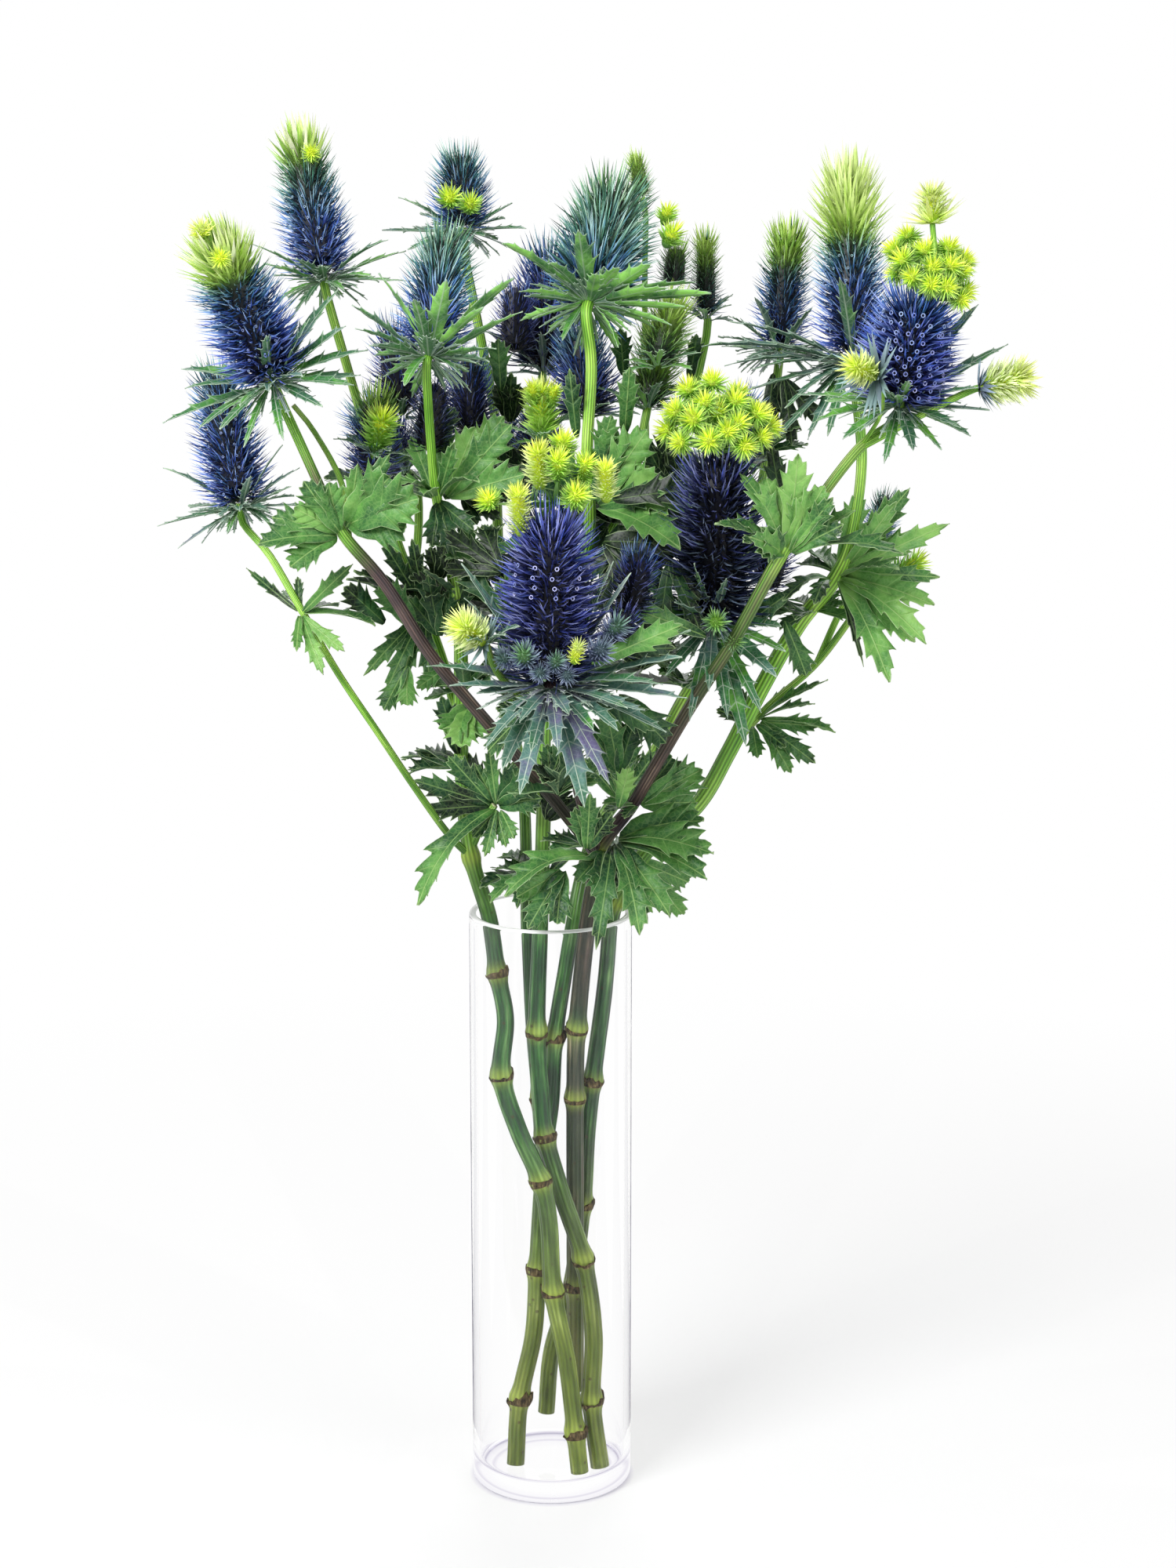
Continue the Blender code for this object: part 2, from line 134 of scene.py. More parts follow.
# Matt vinyl studio floor: near the vase it shows the flowers' own soft shadow, and further out it goes to
# pure white. Under the vase two faint lilac-grey rings are painted into it: painted shadow for the light
# that passes through the thick glass foot.
floor_vinyl, tree, shader = finish_of("matt_white_vinyl", {"Base Color": "#F4F4F4", "Roughness": 0.9})
rays = node(tree, "LightPath")
place = node(tree, "TexCoord")
reach = node(tree, "VectorMath", {0: place.outputs["Object"]}, operation="LENGTH")
far = node(tree, "MapRange", {"Value": reach.outputs["Value"], "From Min": 0.15, "From Max": 0.9,
                              "To Min": 0.55, "To Max": 1.0})
seen = node(tree, "Math", {0: rays.outputs["Is Glossy Ray"], 1: rays.outputs["Is Transmission Ray"]},
            operation="MAXIMUM")
share = node(tree, "Math", {0: rays.outputs["Is Camera Ray"], 1: far.outputs[0]}, operation="MULTIPLY")
share = node(tree, "Math", {0: share.outputs[0], 1: seen.outputs[0]}, operation="MAXIMUM")
# Painted shadow: two faint lilac-grey rings under the vase's foot, which the glass shows.
under = node(tree, "MapRange", {"Value": reach.outputs["Value"], "From Min": 0.02, "From Max": 0.046})
under = node(tree, "ValToRGB", {0: under.outputs[0]},
             stops=[(0.0, "#FFFFFF"), (0.3, "#FAF9FC"), (0.38, "#E2DFEA"), (0.44, "#FAF9FC"),
                    (0.6, "#ECEAF2"), (0.68, "#B4AFC6"), (0.76, "#E6E3EE"), (0.85, "#FFFFFF")])
white = node(tree, "Emission", {"Color": under.outputs[0], "Strength": 1.0})
blend = node(tree, "MixShader", {0: share.outputs[0], 1: shader.outputs[0], 2: white.outputs[0]})
tree.links.new(blend.outputs[0], tree.nodes["Material Output"].inputs["Surface"])
build = bmesh.new()
bmesh.ops.create_grid(build, x_segments=1, y_segments=1, size=6.0)
mesh_object("floor", build, [floor_vinyl])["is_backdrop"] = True

# Lilac card, matt: cut into strips that only a reflection ever shows.
strip_card, tree, shader = finish_of("lilac_card", {"Base Color": "#5A5674", "Roughness": 0.9})
strip_width = 0.12
strip_place = (0, 0.58, 0.001)
build = bmesh.new()
for degrees in range(15, 360, 30):
    place = Matrix.Rotation(math.radians(degrees), 4, "Z") @ Matrix.Translation(strip_place)
    bmesh.ops.create_grid(build, x_segments=1, y_segments=1, size=0.5,
                          matrix=place @ Matrix.Diagonal((strip_width, 1, 1, 1)))
strips = mesh_object("lilac_strips", build, [strip_card])
strips.visible_camera = False
strips.visible_shadow = False
strips.visible_diffuse = False
strips.visible_transmission = False
strips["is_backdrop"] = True

# Three soft lamps, all turned to the middle of the bunch: place, size in metres and watts.
lit_middle = Vector((0.02, 0, 0.4))
for name, spot, size, watts in (("key", (-1.0, -1.3, 1.6), 0.9, 38), ("fill", (1.4, -1.1, 1.0), 1.2, 10),
                                ("back", (0.2, 1.5, 1.5), 1.2, 12)):
    lamp = bpy.data.lights.new(name, "AREA")
    lamp.size = size
    lamp.energy = watts
    holder = bpy.data.objects.new(name, lamp)
    holder.location = spot
    holder.rotation_euler = (lit_middle - Vector(spot)).to_track_quat("-Z", "Y").to_euler()
    bpy.context.scene.collection.objects.link(holder)

# The camera stands 1.6 m in front, a little higher than the flowers, and looks down past them.
looks_down = 12.7
lens = bpy.data.cameras.new("camera")
lens.lens = 77.4
camera = bpy.data.objects.new("camera", lens)
camera.location = (0.0184, -1.6, 0.72)
camera.rotation_euler = (math.radians(90 - looks_down), 0, 0)
bpy.context.scene.collection.objects.link(camera)
bpy.context.scene.camera = camera
bpy.context.scene.view_settings.view_transform = "Standard"


# ---------------------------------------------------------------------------------------------
# The vase: a straight cylinder of clear soda-lime glass, blown in a mould and cut to height.
# Its floor is thick, its rim fire-polished, and its lower edge rounded.
# ---------------------------------------------------------------------------------------------
MM = 0.001
# Points of one mesh that lie closer than this are one point.
weld = 0.01 * MM


def scale_of(size):
    """The scale of a pattern whose features lie this many mm apart."""
    return 1 / (size * MM)


def add_piece(name, build, finishes, slot, *nodes):
    """A finished piece: it rides on the one body, takes the finishes it is given and stands for CAD nodes.
    Its slot is not used.
    """
    piece = mesh_object(name, build, finishes)
    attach(piece, "root")
    if nodes:
        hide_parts(*nodes)
    return piece


low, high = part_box("glass_vase")
wall = 3.5 * MM
well = 9 * MM
inside, outside = high.x - wall, high.x
well_round, foot_round = 5 * MM, 3 * MM
# A corner's neighbours lie just clear of its rounding, so that the walls and floors stay flat and true.
clear_of_well, clear_of_foot, clear_of_rim = 6 * MM, 4 * MM, 2.5 * MM
corners = [(0, well), (inside - clear_of_well, well), (inside, well), (inside, well + clear_of_well),
           (inside, high.z - clear_of_rim), (inside, high.z), (outside, high.z),
           (outside, high.z - clear_of_rim), (outside, clear_of_foot), (outside, 0),
           (outside - clear_of_foot, 0), (0, 0)]
build = bmesh.new()
points = [build.verts.new((across, 0, height)) for across, height in corners]
for above, below in zip(points, points[1:]):
    build.edges.new((above, below))
well_corner, foot_corner = points[2], points[9]
for corner, size in ((well_corner, well_round), (foot_corner, foot_round)):
    bmesh.ops.bevel(build, geom=[corner], offset=size, affect="VERTICES", segments=6, profile=0.5,
                    material=-1)
bmesh.ops.bevel(build, geom=[vert for vert in build.verts if vert.co.z > high.z - weld],
                offset=wall * 0.49, affect="VERTICES", segments=6, profile=0.5, material=-1)
bmesh.ops.spin(build, geom=build.verts[:] + build.edges[:], angle=2 * math.pi, steps=128, axis=(0, 0, 1),
               cent=(0, 0, 0), use_merge=True)
bmesh.ops.remove_doubles(build, verts=build.verts, dist=weld)
bmesh.ops.recalc_face_normals(build, faces=build.faces)
# The faces at the top of the rim take the second finish, whose white is a painted highlight.
for face in build.faces:
    face.smooth = True
    face.material_index = 1 if min(vert.co.z for vert in face.verts) > high.z - wall * 0.4 else 0

# Clear soda-lime glass, moulded: smooth, with the faint waviness that makes its reflections swim.
# Its index is held low, so that the wall throws back as little of the white room as clean thin glass does.
glass, tree, shader = finish_of("clear_soda_lime_glass", {"Base Color": "#FFFFFF", "Roughness": 0.0,
                                                          "IOR": 1.25, "Transmission Weight": 1.0})
place = node(tree, "TexCoord")
swim = node(tree, "TexNoise", {"Vector": place.outputs["Object"], "Scale": scale_of(22.2), "Detail": 1.0})
bump = node(tree, "Bump", {"Strength": 0.05, "Distance": 2 * MM, "Height": swim.outputs["Fac"]})
tree.links.new(bump.outputs["Normal"], shader.inputs["Normal"])

# The rim is fire-polished glass, drawn here in a mostly white finish that lets little light through: a
# painted highlight for the white line that it shows as it gathers the light of the whole wall.
rim_painted_white, tree, shader = finish_of("rim_with_painted_highlight", {"Base Color": "#FFFFFF", "Roughness": 0.1,
                                                          "IOR": 1.5, "Transmission Weight": 0.25})
place = node(tree, "TexCoord")
swim = node(tree, "TexNoise", {"Vector": place.outputs["Object"], "Scale": scale_of(16.67), "Detail": 1.0})
bump = node(tree, "Bump", {"Strength": 0.1, "Distance": 1 * MM, "Height": swim.outputs["Fac"]})
tree.links.new(bump.outputs["Normal"], shader.inputs["Normal"])
add_piece("vase", build, [glass, rim_painted_white], "vase_glass", "glass_vase")

# ---------------------------------------------------------------------------------------------
# The stems: six cut stems, round and ridged lengthwise, with swollen nodes where leaves were torn off.
# Green and satin, some flushed brown-purple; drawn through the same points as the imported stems, in mm.
# ---------------------------------------------------------------------------------------------
plain_green = [(0, 0.0)]
# For each stem its branches, the main one first: points as x, y, z and radius, the head or bud that it
# carries, and how purple its skin is flushed at each height.
routes = {
    "stem_left": [
        ([(14, -23, 10.5, 4.9), (8, -20, 67, 4.9), (1, -18, 105, 5.0), (-1, -17, 140, 4.9),
          (-5, -16, 162, 5.0), (-16, -14, 188, 5.0), (-24, -11, 215, 5.0), (-22, -9, 243, 4.7),
          (-26, -6, 266, 4.6), (-30, -3, 293, 4.4), (-39, 0, 324, 4.2), (-43, 10, 357, 4.0),
          (-44, 20, 394, 3.9), (-44, 20, 433, 3.8), (-49, 12, 473, 3.3), (-54, 4, 499, 2.8),
          (-56, 0, 520, 2.4)],
         "head_leaning_left", plain_green),
        ([(-39, 0, 323, 2.1), (-50, -8, 337, 2.0), (-66, -20, 364, 1.9), (-82, -30, 392, 1.9),
          (-100, -30, 420, 1.9), (-117, -25, 449, 2.0), (-133, -10, 473, 2.0)],
         "head_low_left", plain_green),
        ([(-43, 12, 370, 3.0), (-49, 30, 400, 3.0), (-61, 45, 433, 3.0), (-76, 50, 471, 2.8),
          (-86, 50, 510, 2.6), (-97, 42, 552, 2.5)],
         "head_tall_left", plain_green),
        ([(-80, 50, 486, 1.8), (-82, 34, 500, 1.8)], "bud_inner_left", plain_green),
        ([(-68, 47, 452, 2.4), (-66, 64, 474, 2.4)], "head_inner_left", plain_green),
        ([(-39, 1, 326, 2.3), (-34, -2, 338, 2.2), (-27, -5, 350, 2.0)], None, plain_green),
    ],
    "stem_centre": [
        ([(24, -16, 10.5, 5.1), (20, -13, 45, 5.1), (21, -9, 79, 5.1), (16, -6, 117, 5.0),
          (5, -5, 152, 5.0), (-3, -4, 181, 5.0), (-5, -3, 201, 5.0), (-7, -1, 234, 4.8),
          (-5, 2, 288, 4.3), (-4, 3, 320, 4.1), (-3, 5, 358, 4.0), (-3, 12, 385, 3.8),
          (0, 24, 413, 3.7), (11, 28, 451, 3.6), (19, 22, 482, 3.4), (18, 12, 520, 3.2),
          (20, 18, 560, 3.1)],
         "head_top_centre", [(0, 0.1), (90, 0.1), (150, 0.0)]),
        ([(0, 24, 413, 2.6), (5, 45, 440, 2.6), (14, 61, 485, 2.5)], "head_blue_centre", plain_green),
        ([(11, 28, 450, 2.4), (30, 50, 477, 2.4), (42, 62, 505, 2.4)], "head_green_centre", plain_green),
        ([(10, 28, 449, 2.0), (0, 27, 480, 1.8)], "bud_slim_centre", plain_green),
    ],
    "stem_purple": [
        ([(12, 2, 44, 4.8), (12, 6, 98, 4.9), (12, 7, 140, 4.9), (12, 6, 198, 4.9),
          (13, 3, 235, 4.9), (18, -4, 289, 4.6), (22, -9, 316, 4.5), (24, -12, 331, 4.4),
          (39, -22, 353, 3.5), (48, -28, 370, 3.4), (67, -35, 405, 3.4), (87, -40, 438, 3.4),
          (108, -40, 477, 3.5), (124, -38, 501, 2.8), (145, -31, 527, 2.8)],
         "head_front_right",
         [(0, 0.3), (150, 0.5), (228, 0.7), (238, 0.3), (250, 0.7), (330, 0.85), (345, 1.0), (400, 0.95),
          (440, 0.75), (465, 0.5), (480, 0.15), (495, 0.55), (520, 0.35), (545, 0.15)]),
        ([(23, -10, 326, 3.4), (11, -22, 345, 3.3), (-4, -35, 367, 3.3), (-37, -50, 410, 3.3),
          (-56, -55, 435, 3.3), (-76, -50, 466, 3.2), (-95, -45, 488, 3.1), (-104, -40, 505, 2.7),
          (-116, -32, 530, 2.6)],
         "head_front_left",
         [(330, 0.95), (472, 1.0), (480, 0.8), (486, 0.3), (491, 0.15), (497, 0.9), (512, 0.8), (528, 0.2),
          (545, 0.0)]),
        ([(23, -11, 328, 3.2), (15, -45, 362, 3.1), (10, -72, 394, 3.0)], "head_front_centre", [(0, 1.0)]),
        ([(146, -31, 528, 1.2), (154, -42, 545, 1.1)], "bud_front_right", plain_green),
        ([(-93, -40, 484, 1.8), (-98, -14, 508, 1.6), (-112, 6, 530, 1.5), (-122, 6, 543, 1.4)],
         None, [(0, 0.3)]),
        ([(145, -31, 527, 2.0), (168, -34, 540, 2.0), (186, -37, 550, 1.9)], "bud_far_right", plain_green),
        ([(6, -81, 408, 1.8), (-10, -91, 419, 1.8), (-23, -99, 434, 1.8)], "bud_front_left", [(0, 0.4)]),
        ([(176, -38, 596, 1.7), (177, -41, 612, 1.6), (177, -38, 622, 1.5)], "bud_pale_right", plain_green),
    ],
    "stem_back": [
        ([(-18, -13, 10.5, 4.9), (-16, -8, 43, 4.9), (-9, -5, 77, 4.9), (-7, -4, 111, 4.9),
          (-5, -1, 143, 4.9), (-3, 7.5, 173, 4.9), (0, 8, 197, 4.8), (2, 8, 229, 4.6),
          (7, 8, 262, 4.3), (11, 9, 286, 4.2), (16, 18, 310, 4.1), (26, 32, 335, 4.0),
          (50, 38, 364, 3.9), (64, 36, 391, 3.8), (75, 20, 415, 3.7)],
         "head_low_centre", [(0, 0.15), (80, 0.1), (130, 0.0)]),
        ([(50, 38, 364, 2.8), (75, 52, 410, 2.7), (92, 66, 450, 2.6), (106, 78, 500, 2.5)],
         "head_back_right", [(0, 0.2)]),
    ],
    "stem_right": [
        ([(-3, 14, 27, 4.8), (0, 16, 60, 4.8), (10, 18, 94, 4.9), (16, 18, 138, 4.9),
          (18, 18, 173, 4.9), (21, 16, 204, 4.9), (27, 10, 253, 4.7), (29.5, 6, 285, 4.4),
          (32, 3, 300, 4.4), (38, 0, 312, 4.5), (49, 0, 328, 4.4), (72, 5, 348, 4.5),
          (87, 10, 373, 4.5), (104, 15, 406, 4.6), (121, 15, 436, 4.5), (138, 12, 459, 4.2),
          (146, 15, 480, 3.0), (151, 28, 515, 2.9)],
         "head_tall_right", plain_green),
        ([(68, 4, 345, 2.4), (85, 30, 365, 2.2), (108, 48, 388, 2.1), (134, 53, 411, 2.0)],
         "bud_low_right", [(0, 0.2)]),
        ([(133, 53, 410, 2.0), (145, 59, 436, 1.9)], "head_low_right", plain_green),
    ],
    "stem_thin": [
        ([(-5, 18, 94, 3.5), (-5, 20, 152, 3.5), (-7, 20, 193, 3.5), (-10, 20, 234, 3.5),
          (-12, 19, 284, 3.4), (-12, 20, 304, 3.3), (-14, 40, 350, 3.2), (-21, 50, 388, 3.1),
          (-25, 60, 434, 3.0), (-27, 75, 483, 2.8), (-28, 88, 525, 2.7), (-36, 93, 571, 2.6)],
         "head_back_left", plain_green),
        ([(-25, 61, 436, 2.6), (-19, 85, 462, 2.6), (-11, 105, 499, 2.5)], "head_back_centre", plain_green),
        ([(-14, 40, 351, 2.6), (7, 70, 384, 2.6), (30, 100, 419, 2.6), (51, 118, 457, 2.5),
          (67, 122, 513, 2.4)], "head_slim_back", plain_green),
        ([(50, 117, 455, 1.8), (48, 115, 520, 1.7), (47, 111, 590, 1.6)], "head_small_top", plain_green),
    ],
}
# Heights in mm of the nodes on each main stem, and how much of the torn brown sheath is left there.
nodes_at = {
    "stem_left": [(32, 1.0), (105, 1.0), (162, 0.4), (215, 0.8), (266, 0.7), (323, 0.0)],
    "stem_centre": [(45, 1.3), (118, 1.2), (181, 0.5), (235, 0.8)],
    "stem_purple": [(98, 0.6), (198, 0.4), (235, 0.5), (330, 0.0)],
    "stem_back": [(44, 1.6), (111, 0.6), (229, 1.5)],
    "stem_right": [(138, 0.9), (204, 0.7), (300, 0.0)],
    "stem_thin": [(152, 0.4), (193, 0.5)],
}


def head_line(name):
    """Where a packed head stands: middle of its flat base, axis, length and widest radius."""
    mesh = bpy.data.objects[name].data
    flats = {}
    for face in mesh.polygons:
        flats.setdefault(tuple(round(part, 2) for part in face.normal), []).append(face)
    base_faces = max(flats.values(), key=len)
    axis = -base_faces[0].normal.normalized()
    base = sum((face.center for face in base_faces), Vector()) / len(base_faces)
    places = [vert.co - base for vert in mesh.vertices]
    length = max(place.dot(axis) for place in places)
    radius = max((place - axis * place.dot(axis)).length for place in places)
    return base, axis, length, radius


def read_line(line, place):
    """The value of a line of (place, value) points at one place, held level past its ends."""
    if place <= line[0][0]:
        return line[0][1]
    for (start, low_value), (stop, high_value) in zip(line, line[1:]):
        if place <= stop:
            return low_value + (high_value - low_value) * (place - start) / (stop - start)
    return line[-1][1]


def smooth_route(points, step):
    """Stations every few millimetres on a smooth curve through a stem's own points."""
    ends = [points[0] * 2 - points[1]] + points + [points[-1] * 2 - points[-2]]
    stations = []
    for before, start, stop, after in zip(ends, ends[1:], ends[2:], ends[3:]):
        count = max(1, round((stop - start).length / step))
        for index in range(count):
            part = index / count
            stations.append(0.5 * (2 * start + (stop - before) * part
                                   + (2 * before - 5 * start + 4 * stop - after) * part ** 2
                                   + (3 * start - before - 3 * stop + after) * part ** 3))
    return stations + [points[-1]]


def closeness_to(nodes, height):
    """How near a height in mm is to one of a stem's nodes, from 0 to 1: each swells over about 4 mm."""
    swelling = 4
    return max((math.exp(-((height - middle) / swelling) ** 2) for middle, brown in nodes), default=0.0)


def draw_stem(build, stations, sides, nodes, flush):
    """A tube along its stations: a grid with a column to each side, rolled round the route and welded.
    It is a tenth slimmer than its stated radius between the nodes, and swells past it at each."""
    uv = build.loops.layers.uv.verify()
    purple = build.verts.layers.float["flush"]
    knot = build.verts.layers.float["knot"]
    made = bmesh.ops.create_grid(build, x_segments=sides, y_segments=len(stations) - 1, size=1)["verts"]
    side = Vector((1, 0, 0))
    travelled = 0.0
    print_at = {}
    for row, station in enumerate(stations):
        centre = station.xyz * MM
        ahead = (stations[min(row + 1, len(stations) - 1)] - stations[max(row - 1, 0)]).xyz.normalized()
        side = (side - ahead * side.dot(ahead)).normalized()
        across = ahead.cross(side)
        if row:
            travelled += (station - stations[row - 1]).xyz.length
        closeness = closeness_to(nodes, station.z)
        radius = station.w * (0.9 + 0.28 * closeness) * MM
        for column in range(sides + 1):
            vert = made[row * (sides + 1) + column]
            turn = 2 * math.pi * (column % sides) / sides
            vert.co = centre + (side * math.cos(turn) + across * math.sin(turn)) * radius
            vert[knot] = closeness
            vert[purple] = read_line(flush, station.z)
            print_at[vert] = (column / sides, travelled * MM)
    for face in {face for vert in made for face in vert.link_faces}:
        for corner in face.loops:
            corner[uv].uv = print_at[corner.vert]
        face.smooth = True
    bmesh.ops.remove_doubles(build, verts=made, dist=weld)
    rims = [edge for vert in made if vert.is_valid for edge in vert.link_edges if edge.is_boundary]
    for face in bmesh.ops.holes_fill(build, edges=list(set(rims)), sides=0)["faces"]:
        face.material_index = 1


def grow(build, edges):
    """Extrude an open rim once: its new points and its new edges."""
    grown = bmesh.ops.extrude_edge_only(build, edges=edges)["geom"]
    ring = [item for item in grown if isinstance(item, bmesh.types.BMVert)]
    return ring, [item for item in grown if isinstance(item, bmesh.types.BMEdge)]


def draw_sheath(build, station, ahead, share):
    """What is left of a torn leaf's sheath: a ragged ring that stands off the stem at a node."""
    side = ahead.orthogonal().normalized()
    turn = Matrix((side, ahead.cross(side), ahead)).transposed().to_4x4()
    place = Matrix.Translation(station.xyz * MM) @ turn
    clearance, below_node = 1.12, 2.2
    ring = bmesh.ops.create_circle(build, segments=22, radius=station.w * clearance * MM)["verts"]
    bmesh.ops.translate(build, verts=ring, vec=(0, 0, -below_node * MM))
    edges = list({edge for vert in ring for edge in vert.link_edges})
    every = list(ring)
    phase = dice.uniform(0, 6)
    for rise, flare, ragged in ((1.0, 1.05, 0.3), (0.9, 1.05, 0.6), (1.2, 0.98, 1.6), (-1.4, 0.86, 0.4)):
        ring, edges = grow(build, edges)
        for vert in ring:
            around = math.atan2(vert.co.y, vert.co.x)
            wide = 1 + (flare - 1) * (0.7 + 0.5 * share + 0.5 * math.sin(around * 2 + phase))
            vert.co.x *= wide
            vert.co.y *= wide
            vert.co.z += (rise + ragged * share * (math.sin(around + phase) + dice.uniform(-0.6, 0.8))) * MM
        every += ring
    for face in {face for vert in every for face in vert.link_faces}:
        face.material_index = 2
        face.smooth = True
    bmesh.ops.transform(build, matrix=place, verts=every)


# Fresh herbaceous stem, cut days ago: satin skin over lengthwise ribs, about a dozen round the stem.
# The fine stripes of light along them are painted: painted shade in the grooves and a painted highlight on
# the crowns, stronger higher up. Olive and freckled low down, bright green above, yellower at the
# nodes, brown-purple in streaks where it is flushed.
stem_skin, tree, shader = finish_of("fresh_plant_stem", {"Roughness": 0.38, "Specular IOR Level": 0.45})
place = node(tree, "TexCoord")
print_of = node(tree, "UVMap")
streaks_round, ribs_round = 9, 13
stretch = node(tree, "Mapping", {"Vector": print_of.outputs["UV"],
                                 "Scale": (streaks_round, scale_of(35.7), 1.0)})
streak = node(tree, "TexNoise", {"Vector": stretch.outputs[0], "Scale": 1.0, "Detail": 3.0})
clouds = node(tree, "TexNoise", {"Vector": place.outputs["Object"], "Scale": scale_of(26.3),
                                 "Detail": 2.0})
mixed = node(tree, "Math", {0: streak.outputs["Fac"], 1: 0.6, 2: 0.0}, operation="MULTIPLY_ADD")
mixed = node(tree, "Math", {0: clouds.outputs["Fac"], 1: 0.4, 2: mixed.outputs[0]}, operation="MULTIPLY_ADD")
olive = node(tree, "ValToRGB", {0: mixed.outputs[0]},
             stops=[(0.3, "#3C4A14"), (0.45, "#5E7222"), (0.58, "#82943A"), (0.75, "#B4C06A")])
deep = node(tree, "ValToRGB", {0: mixed.outputs[0]},
            stops=[(0.3, "#102A1C"), (0.46, "#224C28"), (0.56, "#3C7234"), (0.68, "#8CB470")])
green = node(tree, "ValToRGB", {0: mixed.outputs[0]},
             stops=[(0.3, "#4E8A24"), (0.46, "#80BE3E"), (0.58, "#B0E25C"), (0.72, "#DCF894")])
height = node(tree, "SeparateXYZ", {0: place.outputs["Object"]})
midway = node(tree, "MapRange", {"Value": height.outputs["Z"], "From Min": 0.08, "From Max": 0.19})
skin = node(tree, "Mix", {0: midway.outputs[0], 6: olive.outputs[0], 7: deep.outputs[0]}, data_type="RGBA")
above = node(tree, "MapRange", {"Value": height.outputs["Z"], "From Min": 0.28, "From Max": 0.4})
skin = node(tree, "Mix", {0: above.outputs[0], 6: skin.outputs[2], 7: green.outputs[0]}, data_type="RGBA")
flushed = node(tree, "ValToRGB", {0: mixed.outputs[0]},
               stops=[(0.3, "#1C1418"), (0.48, "#3C2C30"), (0.62, "#644E4A"), (0.75, "#A8967E")])
is_flushed = node(tree, "Attribute", attribute_name="flush")
is_knot = node(tree, "Attribute", attribute_name="knot")
patchy = node(tree, "Math", {0: streak.outputs["Fac"], 1: 1.6, 2: -0.8}, operation="MULTIPLY_ADD")
between = node(tree, "Math", {0: is_flushed.outputs["Fac"], 1: 0.5}, operation="SUBTRACT")
between = node(tree, "Math", {0: between.outputs[0]}, operation="ABSOLUTE")
between = node(tree, "Math", {0: between.outputs[0], 1: -2.0, 2: 1.0}, operation="MULTIPLY_ADD")
patchy = node(tree, "Math", {0: patchy.outputs[0], 1: between.outputs[0], 2: is_flushed.outputs["Fac"]},
              operation="MULTIPLY_ADD", use_clamp=True)
skin = node(tree, "Mix", {0: patchy.outputs[0], 6: skin.outputs[2], 7: flushed.outputs[0]}, data_type="RGBA")
near_knot = node(tree, "Math", {0: is_knot.outputs["Fac"], 1: 0.6}, operation="MULTIPLY")
skin = node(tree, "Mix", {0: near_knot.outputs[0], 6: skin.outputs[2], 7: "#AEC24C"}, data_type="RGBA")
cells = node(tree, "TexVoronoi", {"Vector": place.outputs["Object"], "Scale": scale_of(7.69)})
speck = node(tree, "MapRange", {"Value": cells.outputs["Distance"], "From Min": 0.08, "From Max": 0.14,
                                "To Min": 0.75, "To Max": 0.0})
speck = node(tree, "MapRange", {"Value": above.outputs[0], "To Min": speck.outputs[0], "To Max": 0.0})
skin = node(tree, "Mix", {0: speck.outputs[0], 6: skin.outputs[2], 7: "#4A3A22"}, data_type="RGBA")
turns = node(tree, "SeparateXYZ", {0: print_of.outputs["UV"]})
ribs = node(tree, "Math", {0: turns.outputs["X"], 1: 2 * math.pi * ribs_round}, operation="MULTIPLY")
ribs = node(tree, "Math", {0: ribs.outputs[0]}, operation="SINE")
# Painted shade in the rib grooves and a painted highlight on their crowns, both stronger higher up.
painted_groove_shade = node(tree, "MapRange", {"Value": above.outputs[0], "To Min": 0.74, "To Max": 0.5})
crown = node(tree, "MapRange", {"Value": above.outputs[0], "To Min": 1.1, "To Max": 1.35})
shade = node(tree, "MapRange", {"Value": ribs.outputs[0], "From Min": -1.0, "From Max": 1.0,
                                "To Min": painted_groove_shade.outputs[0], "To Max": crown.outputs[0]})
skin = node(tree, "Mix", {0: 1.0, 6: skin.outputs[2], 7: shade.outputs[0]}, data_type="RGBA",
            blend_type="MULTIPLY")
tree.links.new(skin.outputs[2], shader.inputs["Base Color"])
bump = node(tree, "Bump", {"Strength": 0.5, "Distance": 0.3 * MM, "Height": ribs.outputs[0]})
tree.links.new(bump.outputs["Normal"], shader.inputs["Normal"])

# Cut end of a stem: pale wet pith with fine pores.
pith, tree, shader = finish_of("cut_stem_pith", {"Roughness": 0.55})
place = node(tree, "TexCoord")
pores = node(tree, "TexVoronoi", {"Vector": place.outputs["Object"], "Scale": scale_of(0.556)})
tinted = node(tree, "ValToRGB", {0: pores.outputs["Distance"]}, stops=[(0.1, "#8E9A60"), (0.6, "#C9CFA0")])
tree.links.new(tinted.outputs[0], shader.inputs["Base Color"])

# Leaf sheath left at a node: dead, dry and fibrous, brown with black edges.
husk, tree, shader = finish_of("dry_leaf_sheath", {"Roughness": 0.75, "Specular IOR Level": 0.2})
place = node(tree, "TexCoord")
fibre_width, fibre_length = 1.111, 3.846
fibres = node(tree, "Mapping", {"Vector": place.outputs["Object"],
                                "Scale": (scale_of(fibre_width), scale_of(fibre_width),
                                          scale_of(fibre_length))})
fibres = node(tree, "TexNoise", {"Vector": fibres.outputs[0], "Scale": 1.0, "Detail": 3.0})
tinted = node(tree, "ValToRGB", {0: fibres.outputs["Fac"]},
              stops=[(0.32, "#1E1A10"), (0.48, "#4A3E26"), (0.62, "#726040"), (0.75, "#A8986C")])
tree.links.new(tinted.outputs[0], shader.inputs["Base Color"])
bump = node(tree, "Bump", {"Strength": 0.7, "Distance": 0.5 * MM, "Height": fibres.outputs["Fac"]})
tree.links.new(bump.outputs["Normal"], shader.inputs["Normal"])

